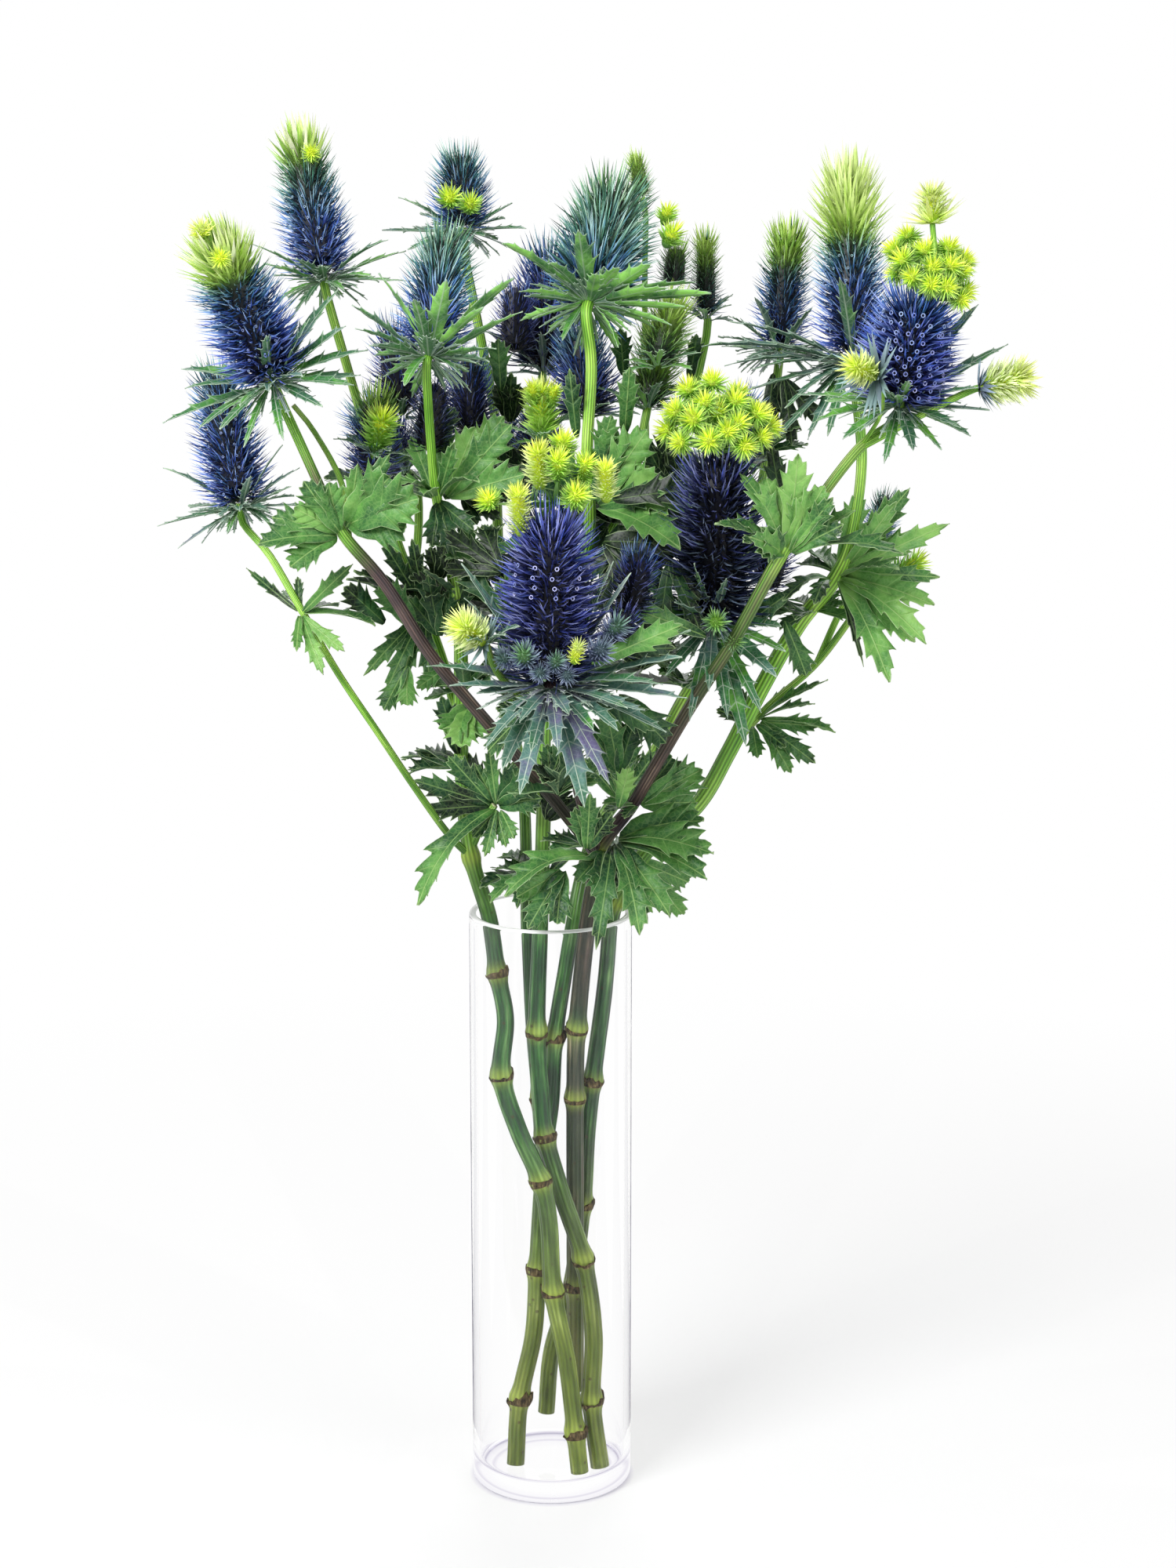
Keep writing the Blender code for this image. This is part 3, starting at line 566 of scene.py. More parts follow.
# A stem runs on straight for a little way below a head or bud, and ends a touching gap short of it.
head_lead, bud_lead, gap = 10 * MM, 3 * MM, 0.3 * MM
dice = random.Random(11)
for name, branches in routes.items():
    build = bmesh.new()
    build.verts.layers.float.new("flush")
    build.verts.layers.float.new("knot")
    for index, (points, head, flush) in enumerate(branches):
        points = [Vector(point) for point in points]
        if head:
            base, axis, length, radius = head_line(head)
            lead = head_lead if head.startswith("head") else bud_lead
            points += [Vector((*((base - axis * back) / MM), points[-1].w)) for back in (lead, gap)]
        nodes = nodes_at[name] if index == 0 else ()
        step, sides = (5, 10) if index else (2.5, 16)
        stations = smooth_route(points, step)
        draw_stem(build, stations, sides, nodes, flush)
        for height, brown in nodes:
            if brown:
                row = min(range(1, len(stations) - 1), key=lambda row: abs(stations[row].z - height))
                ahead = (stations[row + 1] - stations[row - 1]).xyz.normalized()
                draw_sheath(build, stations[row], ahead, brown)
    bmesh.ops.recalc_face_normals(build, faces=build.faces)
    add_piece(name + "_skin", build, [stem_skin, pith, husk], "stem", name)

# ---------------------------------------------------------------------------------------------
# The heads: a dry egg of tightly set florets, each with a stiff spiny bract and a small pale calyx.
# They grow from the stem's end; navy and blue below, where they are in flower, lime where still young.
# ---------------------------------------------------------------------------------------------
# The angle from one floret, or one spine, to the next along the spiral: the golden angle.
golden = math.radians(137.508)


def spiny_mesh():
    """A bmesh ready for spines: what each point knows is its place along one, its age and its shade."""
    build = bmesh.new()
    for layer in ("along", "age", "shade"):
        build.verts.layers.float.new(layer)
    return build


def spine(thickness, bend, flat=1.0, growth=((0.5, 0.9), (0.5, 0.03))):
    """One stiff spine, a unit long: a tapering three-sided shoot, bent towards +X."""
    build = spiny_mesh()
    along = build.verts.layers.float["along"]
    bmesh.ops.create_circle(build, segments=3, radius=thickness, cap_ends=True)
    edges = build.edges[:]
    for rise, share in growth:
        tips, edges = grow(build, edges)
        bmesh.ops.translate(build, verts=tips, vec=(0, 0, rise))
        bmesh.ops.scale(build, vec=(share, share, 1), verts=tips)
    bmesh.ops.remove_doubles(build, verts=build.verts, dist=thickness * 0.1)
    bmesh.ops.scale(build, vec=(flat, 1, 1), verts=build.verts)
    for vert in build.verts:
        vert[along] = vert.co.z
        vert.co.x += bend * vert.co.z ** 2
    bmesh.ops.recalc_face_normals(build, faces=build.faces)
    return mesh_of("spine", build)


def calyx():
    """One floret, 1 mm to the unit: a slim tube that opens in a pale lip round a sunken throat."""
    build = spiny_mesh()
    along = build.verts.layers.float["along"]
    bmesh.ops.create_circle(build, segments=8, radius=0.6)
    edges = build.edges[:]
    for rise, share, pale in ((8.0, 0.9, 0.0), (0.6, 2.0, 1.0), (0.0, 0.62, 1.0), (-1.2, 0.9, 0.0)):
        rim, edges = grow(build, edges)
        bmesh.ops.translate(build, verts=rim, vec=(0, 0, rise))
        bmesh.ops.scale(build, vec=(share, share, 1), verts=rim)
        for vert in rim:
            vert[along] = pale
    bmesh.ops.holes_fill(build, edges=edges, sides=0)
    bmesh.ops.recalc_face_normals(build, faces=build.faces)
    for face in build.faces:
        face.material_index = 1
    return mesh_of("calyx", build)


def plant(build, shape, foot, direction, lean, size, age):
    """Copy a small shape into a piece: its root at foot, standing along direction, bent towards lean."""
    up = direction.normalized()
    side = lean - up * lean.dot(up)
    side = side.normalized() if side.length > 0.001 else up.orthogonal().normalized()
    turn = Matrix((side, up.cross(side), up)).transposed().to_4x4()
    copy = shape.copy()
    copy.transform(Matrix.Translation(foot) @ turn @ Matrix.Scale(size, 4))
    copy.attributes["age"].data.foreach_set("value", [age] * len(copy.vertices))
    copy.attributes["shade"].data.foreach_set("value", [dice.random()] * len(copy.vertices))
    build.from_mesh(copy)
    bpy.data.meshes.remove(copy)


# Bracts in the units of their own length, and three lines along a head from its base (0) to its top (1): how
# wide its body is, how far in degrees its spines rise above level, and how long they are to its radius.
long_spine = spine(0.026, 0.16)
young_blade = spine(0.05, 0.1, flat=0.4)
short_spine = spine(0.05, 0.0, growth=((1.0, 0.03),))
crest_blade = spine(0.075, 0.12, flat=0.3, growth=((0.35, 1.3), (0.65, 0.03)))
floret = calyx()
body_line = [(0.0, 0.7), (0.1, 0.92), (0.3, 1.0), (0.7, 0.88), (0.9, 0.74), (0.97, 0.55), (1.0, 0.2)]
tilt_line = [(0.0, -6), (0.08, 10), (0.3, 26), (0.6, 36), (0.8, 46), (0.92, 58), (1.0, 80)]
reach_line = [(0.0, 0.76), (0.3, 0.72), (0.7, 0.68), (0.92, 0.7), (1.0, 0.62)]


def core(build, base, axis, length, radius, ages):
    """The body that the florets stand on, painted dark as the shade deep in the head: a ball drawn out into
    an egg along the head's axis.
    """
    along = build.verts.layers.float["along"]
    age = build.verts.layers.float["age"]
    side = axis.orthogonal().normalized()
    across = axis.cross(side)
    for vert in bmesh.ops.create_uvsphere(build, u_segments=14, v_segments=9, radius=1)["verts"]:
        share = (vert.co.z + 1) / 2
        flat = vert.co.xy.length
        turn = math.atan2(vert.co.y, vert.co.x)
        reach = radius * read_line(body_line, share) * min(1, flat * 1.6)
        vert.co = base + axis * length * share + (side * math.cos(turn) + across * math.sin(turn)) * reach
        # A place low along the spines, so that the core takes the roots' painted shade.
        vert[along] = 0.12
        vert[age] = read_line(ages, share)


def floret_places(count):
    """Places along a head, 0 to 1, that share its florets out evenly over its rounded body."""
    steps = 60
    weights = [read_line(body_line, (step + 0.5) / steps) for step in range(steps)]
    total = sum(weights)
    places = []
    passed = 0.0
    for step, weight in enumerate(weights):
        while len(places) < count and (len(places) + 0.5) / count <= passed + weight / total:
            places.append((step + ((len(places) + 0.5) / count - passed) * total / weight) / steps)
        passed += weight / total
    return places


def draw_head(build, base, axis, length, radius, ages, count, rings, tuft, steep, crest):
    """One head: its core, then bracts and florets set round it in the spiral that they grow in."""
    core_radius = radius * 0.5
    core_length = length * 0.92
    core(build, base, axis, core_length, core_radius, ages)
    side = axis.orthogonal().normalized()
    across = axis.cross(side)
    lowest_ring, highest_ring, every, ring_size = rings
    blades, blade_length, blade_age = crest

    def root_at(turn, share):
        """Which way is out, and a point just under the core's skin, at one turn and place."""
        out = side * math.cos(turn) + across * math.sin(turn)
        spread = out * core_radius * read_line(body_line, share) * 0.92
        return out, base + axis * core_length * share + spread

    for index, share in enumerate(floret_places(count)):
        tone = min(1, max(0, read_line(ages, share) + dice.uniform(-0.05, 0.05)))
        young = min(1, max(0, (tone - 0.55) / 0.3))
        turn = index * golden + dice.uniform(-0.12, 0.12)
        out, foot = root_at(turn, share)
        rise = steep + (1 - steep) * max(0, (share - 0.7) / 0.3)
        tilt = math.radians(read_line(tilt_line, share) * rise + 8 * young + dice.uniform(-14, 14))
        direction = out * math.cos(tilt) + axis * math.sin(tilt) + across * dice.uniform(-0.12, 0.12)
        reach = radius * read_line(reach_line, share) * dice.uniform(0.75, 1.12) * (1 + (tuft - 1) * young)
        plant(build, young_blade if young > 0.3 else long_spine, foot, direction, axis, reach, tone)
        for aside, least, most in ((0.33, 0.4, 0.65), (0.67, 0.25, 0.45)):
            out, foot = root_at(turn + golden * aside, share)
            stray = side * dice.uniform(-1, 1) + across * dice.uniform(-1, 1) + axis * dice.uniform(-0.6, 1)
            direction = out * math.cos(tilt) + axis * math.sin(tilt) + stray * 0.6
            plant(build, short_spine, foot, direction, axis, reach * dice.uniform(least, most), tone)
        if lowest_ring < share < highest_ring and index % every == 0:
            out, foot = root_at(turn + golden * 0.5, share)
            tilt = math.radians(read_line(tilt_line, share) * 0.4 * steep)
            direction = out * math.cos(tilt) + axis * math.sin(tilt)
            plant(build, floret, foot, direction, axis, ring_size * MM, tone)
    for index in range(blades):
        share = 0.84 + 0.16 * (index + 0.5) / blades
        out, foot = root_at(index * golden, share)
        tilt = math.radians(34 + 46 * (index + 0.5) / blades + dice.uniform(-8, 8))
        plant(build, crest_blade, foot, out * math.cos(tilt) + axis * math.sin(tilt), axis,
              blade_length * MM * dice.uniform(0.8, 1.1), blade_age - dice.choice((0.0, 0.0, 0.2, 0.35)))


# Dry bracts of the florets: stiff, fibrous and slightly glossy. Their roots, and the core under them, are
# painted near black: painted shade deep in the head. No two take the same tone, so the head reads as
# strokes;
# the tones run from painted shade to a painted highlight brighter than their own colour, and many tips take
# a pale painted highlight. The colour follows age, from blue in flower to lime in bud; its darkest,
# near-black navy end is partly painted shade.
bract_spine, tree, shader = finish_of("dry_floret_spines", {"Roughness": 0.4, "Specular IOR Level": 0.28})
age_of = node(tree, "Attribute", attribute_name="age")
along_of = node(tree, "Attribute", attribute_name="along")
shade_of = node(tree, "Attribute", attribute_name="shade")
place = node(tree, "TexCoord")
patches = node(tree, "TexNoise", {"Vector": place.outputs["Object"], "Scale": scale_of(6.25),
                                  "Detail": 2.0})
shifted = node(tree, "MapRange", {"Value": patches.outputs["Fac"], "From Min": 0.3, "From Max": 0.7,
                                  "To Min": -0.05, "To Max": 0.05})
aged = node(tree, "Math", {0: age_of.outputs["Fac"], 1: shifted.outputs[0]}, operation="ADD")
# Near 0 the ramp is near-black navy: partly the heads' own navy, partly painted shade for heads deep in the
# bunch.
by_age_and_shade = node(tree, "ValToRGB", {0: aged.outputs[0]},
              stops=[(0.0, "#182640"), (0.07, "#3E4676"), (0.14, "#4A54B0"), (0.22, "#4468C4"),
                     (0.3, "#467AAA"), (0.4, "#4A8278"), (0.5, "#568A64"), (0.58, "#74A650"),
                     (0.68, "#98C84A"), (0.8, "#BCDE68"), (0.9, "#D8EC94"), (1.0, "#ECF4C8")])
# Painted shade: each spine darkens towards its root, as shade falls deep in the head; young spines are
# spared it.
painted_root_shade = node(tree, "ValToRGB", {0: along_of.outputs["Fac"]},
              stops=[(0.0, "#2C2C2C"), (0.3, "#A4A4A4"), (0.6, "#FFFFFF")])
youth = node(tree, "MapRange", {"Value": age_of.outputs["Fac"], "From Min": 0.52, "From Max": 0.8,
                                "To Min": 0.0, "To Max": 0.72})
painted_root_shade = node(tree, "Mix", {0: youth.outputs[0], 6: painted_root_shade.outputs[0], 7: "#FFFFFF"}, data_type="RGBA")
# Each spine's random tone: partly its own, partly painted light, from painted shade to a painted highlight
# above its colour.
strokes = node(tree, "MapRange", {"Value": shade_of.outputs["Fac"], "To Min": 0.16, "To Max": 2.55})
strokes = node(tree, "Mix", {0: youth.outputs[0], 6: strokes.outputs[0], 7: "#FFFFFF"}, data_type="RGBA")
spine_colour = node(tree, "Mix", {0: 1.0, 6: by_age_and_shade.outputs[0], 7: painted_root_shade.outputs[2]}, data_type="RGBA",
                    blend_type="MULTIPLY")
spine_colour = node(tree, "Mix", {0: 1.0, 6: spine_colour.outputs[2], 7: strokes.outputs[2]},
                    data_type="RGBA", blend_type="MULTIPLY")
# Painted highlight: the pale colour, by age, that lighter spines take towards their tips.
painted_glint_colour = node(tree, "ValToRGB", {0: age_of.outputs["Fac"]},
                stops=[(0.0, "#8CA0AC"), (0.12, "#B4B8EC"), (0.22, "#B8D0F8"), (0.32, "#CCE8F0"),
                       (0.45, "#CEEADC"), (0.6, "#D2E8A4"), (0.8, "#EAF6A4"), (1.0, "#FCFEE0")])
# Painted highlight: how far the lighter half of the spines turn pale, more towards their tips.
painted_glint_share = node(tree, "MapRange", {"Value": shade_of.outputs["Fac"], "From Min": 0.5, "From Max": 0.9})
tips = node(tree, "MapRange", {"Value": along_of.outputs["Fac"], "From Min": 0.15, "From Max": 0.8})
painted_glint_share = node(tree, "Math", {0: painted_glint_share.outputs[0], 1: tips.outputs[0]}, operation="MULTIPLY")
spine_colour = node(tree, "Mix", {0: painted_glint_share.outputs[0], 6: spine_colour.outputs[2], 7: painted_glint_colour.outputs[0]},
                    data_type="RGBA")
tree.links.new(spine_colour.outputs[2], shader.inputs["Base Color"])

# Calyx: papery; its pale lip makes each open floret read as a small ring round a throat painted dark, as
# the shade down inside it.
calyx_paper, tree, shader = finish_of("papery_calyx", {"Roughness": 0.6})
along_of = node(tree, "Attribute", attribute_name="along")
age_of = node(tree, "Attribute", attribute_name="age")
rim_colour = node(tree, "ValToRGB", {0: age_of.outputs["Fac"]},
                  stops=[(0.0, "#6F7CAC"), (0.1, "#C0C2EE"), (0.16, "#8C98D8"), (0.3, "#9CB8DC"),
                         (0.5, "#9CC8AC"), (0.7, "#C4DC74")])
# Painted shade: the throat and tube go near black, as the shade inside the floret.
throat = node(tree, "ValToRGB", {0: age_of.outputs["Fac"]},
              stops=[(0.0, "#0C0F1C"), (0.2, "#171A44"), (0.5, "#1D3A38"), (0.75, "#5E7A22")])
ring = node(tree, "Mix", {0: along_of.outputs["Fac"], 6: throat.outputs[0], 7: rim_colour.outputs[0]},
            data_type="RGBA")
tree.links.new(ring.outputs[2], shader.inputs["Base Color"])

# Each head: how old its florets are from base to top; how many; its open rings (lowest and highest place,
# one to how many florets, size in mm); how much longer its young spines are; how steeply all of them rise;
# and the leafy crest on top (number of blades, length in mm, age).
few_rings = (0.05, 0.6, 5, 0.6)
no_rings = (1, 1, 1, 1)
no_crest = (0, 0, 0)
# The lowest ages, near 0, take near-black navy: partly the heads' own colour, partly painted shade, as on
# the low centre head.
heads = {
    "head_tall_left": ([(0, 0.19), (0.3, 0.24), (0.55, 0.34), (0.75, 0.48), (0.86, 0.68), (1, 0.88)],
                       600, few_rings, 1.25, 0.85, (44, 17, 1.0)),
    "head_front_left": ([(0, 0.18), (0.35, 0.22), (0.55, 0.27), (0.7, 0.34), (0.77, 0.74), (1, 0.94)],
                        680, few_rings, 1.15, 0.5, (66, 17, 1.0)),
    "head_low_left": ([(0, 0.19), (0.5, 0.24), (0.8, 0.3), (1, 0.4)], 560, few_rings, 1.0, 0.75, no_crest),
    "head_leaning_left": ([(0, 0.19), (0.3, 0.26), (0.7, 0.42), (1, 0.5)],
                          600, no_rings, 1.0, 0.82, no_crest),
    "head_back_left": ([(0, 0.24), (0.5, 0.3), (1, 0.42)], 380, no_rings, 1.0, 1.0, no_crest),
    "head_inner_left": ([(0, 0.04), (0.6, 0.2), (1, 0.34)], 340, no_rings, 1.0, 1.0, no_crest),
    "head_top_centre": ([(0, 0.26), (0.3, 0.4), (0.7, 0.47), (1, 0.52)], 760, no_rings, 1.0, 0.85, no_crest),
    "head_back_centre": ([(0, 0.03), (0.6, 0.16), (1, 0.34)], 460, no_rings, 1.0, 1.0, no_crest),
    "head_blue_centre": ([(0, 0.05), (0.5, 0.22), (1, 0.36)], 360, no_rings, 1.0, 1.0, no_crest),
    "head_green_centre": ([(0, 0.5), (0.4, 0.64), (1, 0.84)], 320, no_rings, 1.5, 1.1, no_crest),
    "head_slim_back": ([(0, 0.28), (0.25, 0.4), (0.5, 0.54), (0.7, 0.64), (1, 0.82)],
                       300, no_rings, 1.4, 0.9, (10, 9, 0.85)),
    "head_small_top": ([(0, 0.52), (0.5, 0.62), (1, 0.78)], 180, no_rings, 1.3, 1.1, no_crest),
    "head_back_right": ([(0, 0.2), (0.5, 0.3), (0.62, 0.46), (0.7, 0.62), (1, 0.8)],
                        440, no_rings, 1.45, 0.95, (16, 11, 0.85)),
    "head_tall_right": ([(0, 0.18), (0.3, 0.24), (0.48, 0.34), (0.58, 0.52), (0.68, 0.8), (1, 0.93)],
                        760, few_rings, 1.4, 0.9, (30, 9, 0.98)),
    "head_front_right": ([(0, 0.13), (0.5, 0.18), (1, 0.24)],
                         840, (0.08, 0.9, 4, 1.05), 1.0, 0.34, no_crest),
    "head_low_centre": ([(0, 0.0), (0.5, 0.04), (1, 0.1)], 700, no_rings, 1.0, 0.7, no_crest),
    "head_front_centre": ([(0, 0.05), (0.35, 0.1), (1, 0.14)],
                          900, (0.5, 0.76, 5, 1.0), 1.0, 0.3, no_crest),
    "head_low_right": ([(0, 0.24), (0.6, 0.34), (1, 0.46)], 220, no_rings, 1.0, 1.0, no_crest),
}
for name, settings in heads.items():
    build = spiny_mesh()
    draw_head(build, *head_line(name), *settings)
    add_piece(name.replace("head", "florets"), build, [bract_spine, calyx_paper], "florets", name)

# Small heads deep in the bunch, on shoots that the front ones hide: base, axis, length and radius in mm,
# ages from base to top, and how many florets. The lowest ages paint many of them near-black navy, partly as
# painted shade.
build = spiny_mesh()
for base, axis, length, radius, ages, count in (
        ((-72, 34, 536), (-0.1, 0.1, 1), 46, 16, [(0, 0.05), (1, 0.3)], 220),
        ((61, 105, 592), (0.1, 0.2, 1), 22, 11, [(0, 0.4), (1, 0.7)], 110),
        ((-2, 62, 500), (-0.2, 0.1, 1), 40, 17, [(0, 0.04), (1, 0.26)], 220),
        ((52, 40, 560), (0.3, 0.1, 1), 34, 15, [(0, 0.5), (1, 0.8)], 200),
        ((88, 42, 512), (0.2, 0.0, 1), 36, 15, [(0, 0.08), (1, 0.3)], 200),
        ((104, 20, 452), (0.3, 0.0, 1), 30, 14, [(0, 0.03), (1, 0.2)], 160),
        ((-40, 55, 524), (0, 0.1, 1), 40, 17, [(0, 0.06), (0.6, 0.2), (1, 0.34)], 240),
        ((-18, 90, 560), (0, 0.2, 1), 36, 14, [(0, 0.04), (1, 0.22)], 180),
        ((-86, 18, 508), (0.1, 0, 1), 42, 16, [(0, 0.1), (0.5, 0.24), (0.7, 0.5), (1, 0.72)], 260),
        ((-58, 14, 520), (0.1, 0, 1), 36, 14, [(0, 0.0), (1, 0.1)], 200),
        ((37, -48, 452), (0.2, -0.2, 1), 34, 14, [(0, 0.0), (0.6, 0.1), (1, 0.3)], 200),
        ((28, -62, 436), (0.4, -0.5, 1), 26, 12, [(0, 0.02), (1, 0.16)], 150)):
    draw_head(build, Vector(base) * MM, Vector(axis).normalized(), length * MM, radius * MM, ages, count,
              no_rings, 1.2, 1.0, no_crest)
add_piece("florets_inner", build, [bract_spine, calyx_paper], "florets")

# ---------------------------------------------------------------------------------------------
# The young heads: bright buttons of soft new spines, on the crowns that top three of the heads and on
# the side shoots. They are yellow at the heart and lime outside, with a few thin pale bracts below.
# ---------------------------------------------------------------------------------------------


def draw_button(build, middle, outward, radius, count, drawn_out=0.0, ages=(0.6, 0.85), ruff=(0, 0, 0)):
    """A young head: a small heart with spines all round it, or round a short column when drawn out, and
    under it a ruff: number of blades, length in mm and age. Its ages are those outside and at the heart."""
    along = build.verts.layers.float["along"]
    age = build.verts.layers.float["age"]
    outer_age, heart_age = ages
    blades, blade_length, blade_age = ruff
    side = outward.orthogonal().normalized()
    across = outward.cross(side)
    for vert in bmesh.ops.create_uvsphere(build, u_segments=10, v_segments=7, radius=1)["verts"]:
        back = vert.co.z < -0.1
        place = side * vert.co.x + across * vert.co.y + outward * vert.co.z
        vert.co = middle + place * radius * (0.4 if back else 0.46) - outward * (drawn_out if back else 0)
        vert[along] = 0.15
        vert[age] = outer_age * 0.7 if back else heart_age
    for index in range(count):
        share = (index + 0.5) / count
        polar = math.acos(1 - 1.85 * share)
        turn = index * golden
        out = side * math.cos(turn) + across * math.sin(turn)
        direction = out * math.sin(polar) + outward * math.cos(polar)
        foot = middle + direction * radius * 0.42
        if share > 0.35 and drawn_out:
            down = (share - 0.35) / 0.65
            foot = middle + out * radius * 0.36 - outward * drawn_out * down
            direction = out + outward * 0.5
        reach = radius * dice.uniform(0.4, 0.95)
        stray = Vector((dice.uniform(-1, 1), dice.uniform(-1, 1), dice.uniform(-1, 1)))
        tone = heart_age + (outer_age - heart_age) * min(1, share * 2)
        plant(build, soft_spine, foot, direction + stray * 0.22, outward, reach, tone)
    for index in range(blades):
        turn = index * golden
        out = side * math.cos(turn) + across * math.sin(turn)
        tilt = math.radians(dice.uniform(-5, 35))
        foot = middle - outward * (drawn_out + radius * 0.35)
        plant(build, crest_blade, foot, out * math.cos(tilt) + outward * math.sin(tilt), outward,
              blade_length * MM * dice.uniform(0.7, 1.1), blade_age + dice.uniform(-0.04, 0.04))


soft_spine = spine(0.065, 0.08)
stub = spine(0.07, 0.0)

# New growth: soft waxy spines in bright, fresh colours; yellow where they crowd at the heart, lime along
# their length and paler at the tip. The oldest of them are grey-green to lilac outside.
young_spine, tree, shader = finish_of("soft_young_spines", {"Roughness": 0.45, "Specular IOR Level": 0.25})
along_of = node(tree, "Attribute", attribute_name="along")
age_of = node(tree, "Attribute", attribute_name="age")
shade_of = node(tree, "Attribute", attribute_name="shade")
root_colour = node(tree, "ValToRGB", {0: age_of.outputs["Fac"]},
                   stops=[(0.0, "#2C3660"), (0.2, "#3C6444"), (0.45, "#5C9828"), (0.65, "#98D030"),
                          (0.86, "#ECFF28"), (1.0, "#C4DA78")])
tip_colour = node(tree, "ValToRGB", {0: age_of.outputs["Fac"]},
                  stops=[(0.0, "#A9B6D2"), (0.2, "#8FB4A2"), (0.45, "#B0DC7C"), (0.65, "#DCF88C"),
                         (0.86, "#F8FF78"), (1.0, "#F2F8D2")])
young_colour = node(tree, "Mix", {0: along_of.outputs["Fac"], 6: root_colour.outputs[0],
                                  7: tip_colour.outputs[0]}, data_type="RGBA")
strokes = node(tree, "MapRange", {"Value": shade_of.outputs["Fac"], "To Min": 0.64, "To Max": 1.45})
young_colour = node(tree, "Mix", {0: 1.0, 6: young_colour.outputs[2], 7: strokes.outputs[0]},
                    data_type="RGBA", blend_type="MULTIPLY")
tree.links.new(young_colour.outputs[2], shader.inputs["Base Color"])

# For each crown: the point its buttons grow away from, their size, and each button's middle and how far
# it is drawn out into a column, in mm.
crowns = {
    "crown_right": ((176, -28, 596), 6.0,
                    [(166, -28, 624, 0), (173, -38, 618, 0), (163, -38, 614, 0), (167, -45, 607, 0),
                     (175, -49, 604, 0), (182, -49, 603, 0), (189, -44, 597, 0), (184, -44, 612, 0),
                     (184, -36, 619, 0), (189, -38, 609, 0), (191, -30, 613, 0), (176, -45, 611, 0),
                     (184, -22, 617, 0), (160, -30, 618, 0), (170, -16, 616, 0), (181, -14, 615, 0),
                     (189, -20, 606, 0), (162, -22, 607, 0), (192, -36, 600, 0)]),
    "crown_centre": ((80, -34, 526), 6.6,
                     [(65, -44, 555, 0), (76, -42, 558, 0), (72, -52, 550, 0), (59, -50, 546, 0),
                      (67, -57, 543, 0), (86, -46, 550, 0), (87, -55, 541, 0), (96, -44, 544, 0),
                      (61, -58, 533, 0), (74, -61, 534, 0), (82, -59, 538, 0), (98, -48, 534, 0),
                      (90, -56, 531, 0), (56, -44, 537, 0), (78, -48, 545, 0), (70, -28, 551, 0),
                      (88, -28, 551, 0), (80, -18, 545, 0), (62, -30, 543, 0), (98, -30, 542, 0),
                      (102, -40, 538, 0)]),
    "crown_front": ((3, -80, 508), 6.6,
                    [(-4, -92, 531, 14), (7, -88, 536, 7), (5, -97, 529, 9), (17, -92, 527, 9),
                     (26, -92, 524, 13), (13, -98, 514, 7), (-13, -98, 513, 17), (-26, -95, 511, 2)]),
}
# The front crown looks up and forward; its tallest buttons are upright columns, paler outside.
forward = Vector((0, -0.45, 0.6))
upright = Vector((-0.05, -0.35, 1))
for name, (heart, size, spots) in crowns.items():
    build = spiny_mesh()
    heart = Vector(heart) * MM
    for *spot, drawn_out in spots:
        spot = Vector(spot) * MM
        is_column = drawn_out > 10
        outward = (spot - heart).normalized()
        if name == "crown_front":
            outward = (outward * 0.5 + forward).normalized()
        if is_column:
            outward = upright.normalized()
        draw_button(build, spot, outward, size * MM * dice.uniform(0.95, 1.15), 150 + 6 * drawn_out,
                    drawn_out * MM, (0.98, 0.87) if is_column else (0.54, 0.9))
        stalk = spot - outward * drawn_out * MM - heart
        plant(build, stub, heart, stalk, outward, stalk.length, 0.4)
        for bract in range(5):
            place = heart + (spot - heart) * dice.uniform(0.3, 0.75)
            out = Vector((dice.uniform(-1, 1), dice.uniform(-1, 0.4), dice.uniform(-0.3, 1)))
            plant(build, crest_blade, place, out + outward, outward, dice.uniform(6, 12) * MM,
                  dice.choice((0.2, 0.3, 0.45)))
    add_piece(name.replace("crown", "young_crown"), build, [young_spine], "young_florets", name)

# Each bud: how full it is, number of spines, ages outside and at its heart, and the ruff under it.
buds = {
    "bud_low_right": (1.0, 150, (0.45, 0.8), (16, 16, 0.05)),
    "bud_pale_right": (1.0, 150, (1.0, 0.95), (24, 19, 0.96)),
    "bud_front_right": (0.85, 220, (0.98, 0.9), (30, 21, 0.1)),
    "bud_far_right": (1.15, 340, (1.0, 0.93), (44, 15, 0.06)),
    "bud_slim_centre": (1.0, 260, (0.6, 0.95), (14, 14, 0.3)),
    "bud_front_left": (1.0, 240, (0.99, 0.92), (18, 16, 0.1)),
    "bud_inner_left": (1.0, 200, (0.5, 0.84), (10, 14, 0.1)),
}
for name, (fullness, count, ages, ruff) in buds.items():
    build = spiny_mesh()
    base, axis, length, radius = head_line(name)
    middle = base + axis * length * 0.62
    draw_button(build, middle, axis, radius * fullness, count, length * 0.5, ages, ruff)
    add_piece(name.replace("bud", "young"), build, [young_spine], "young_florets", name)

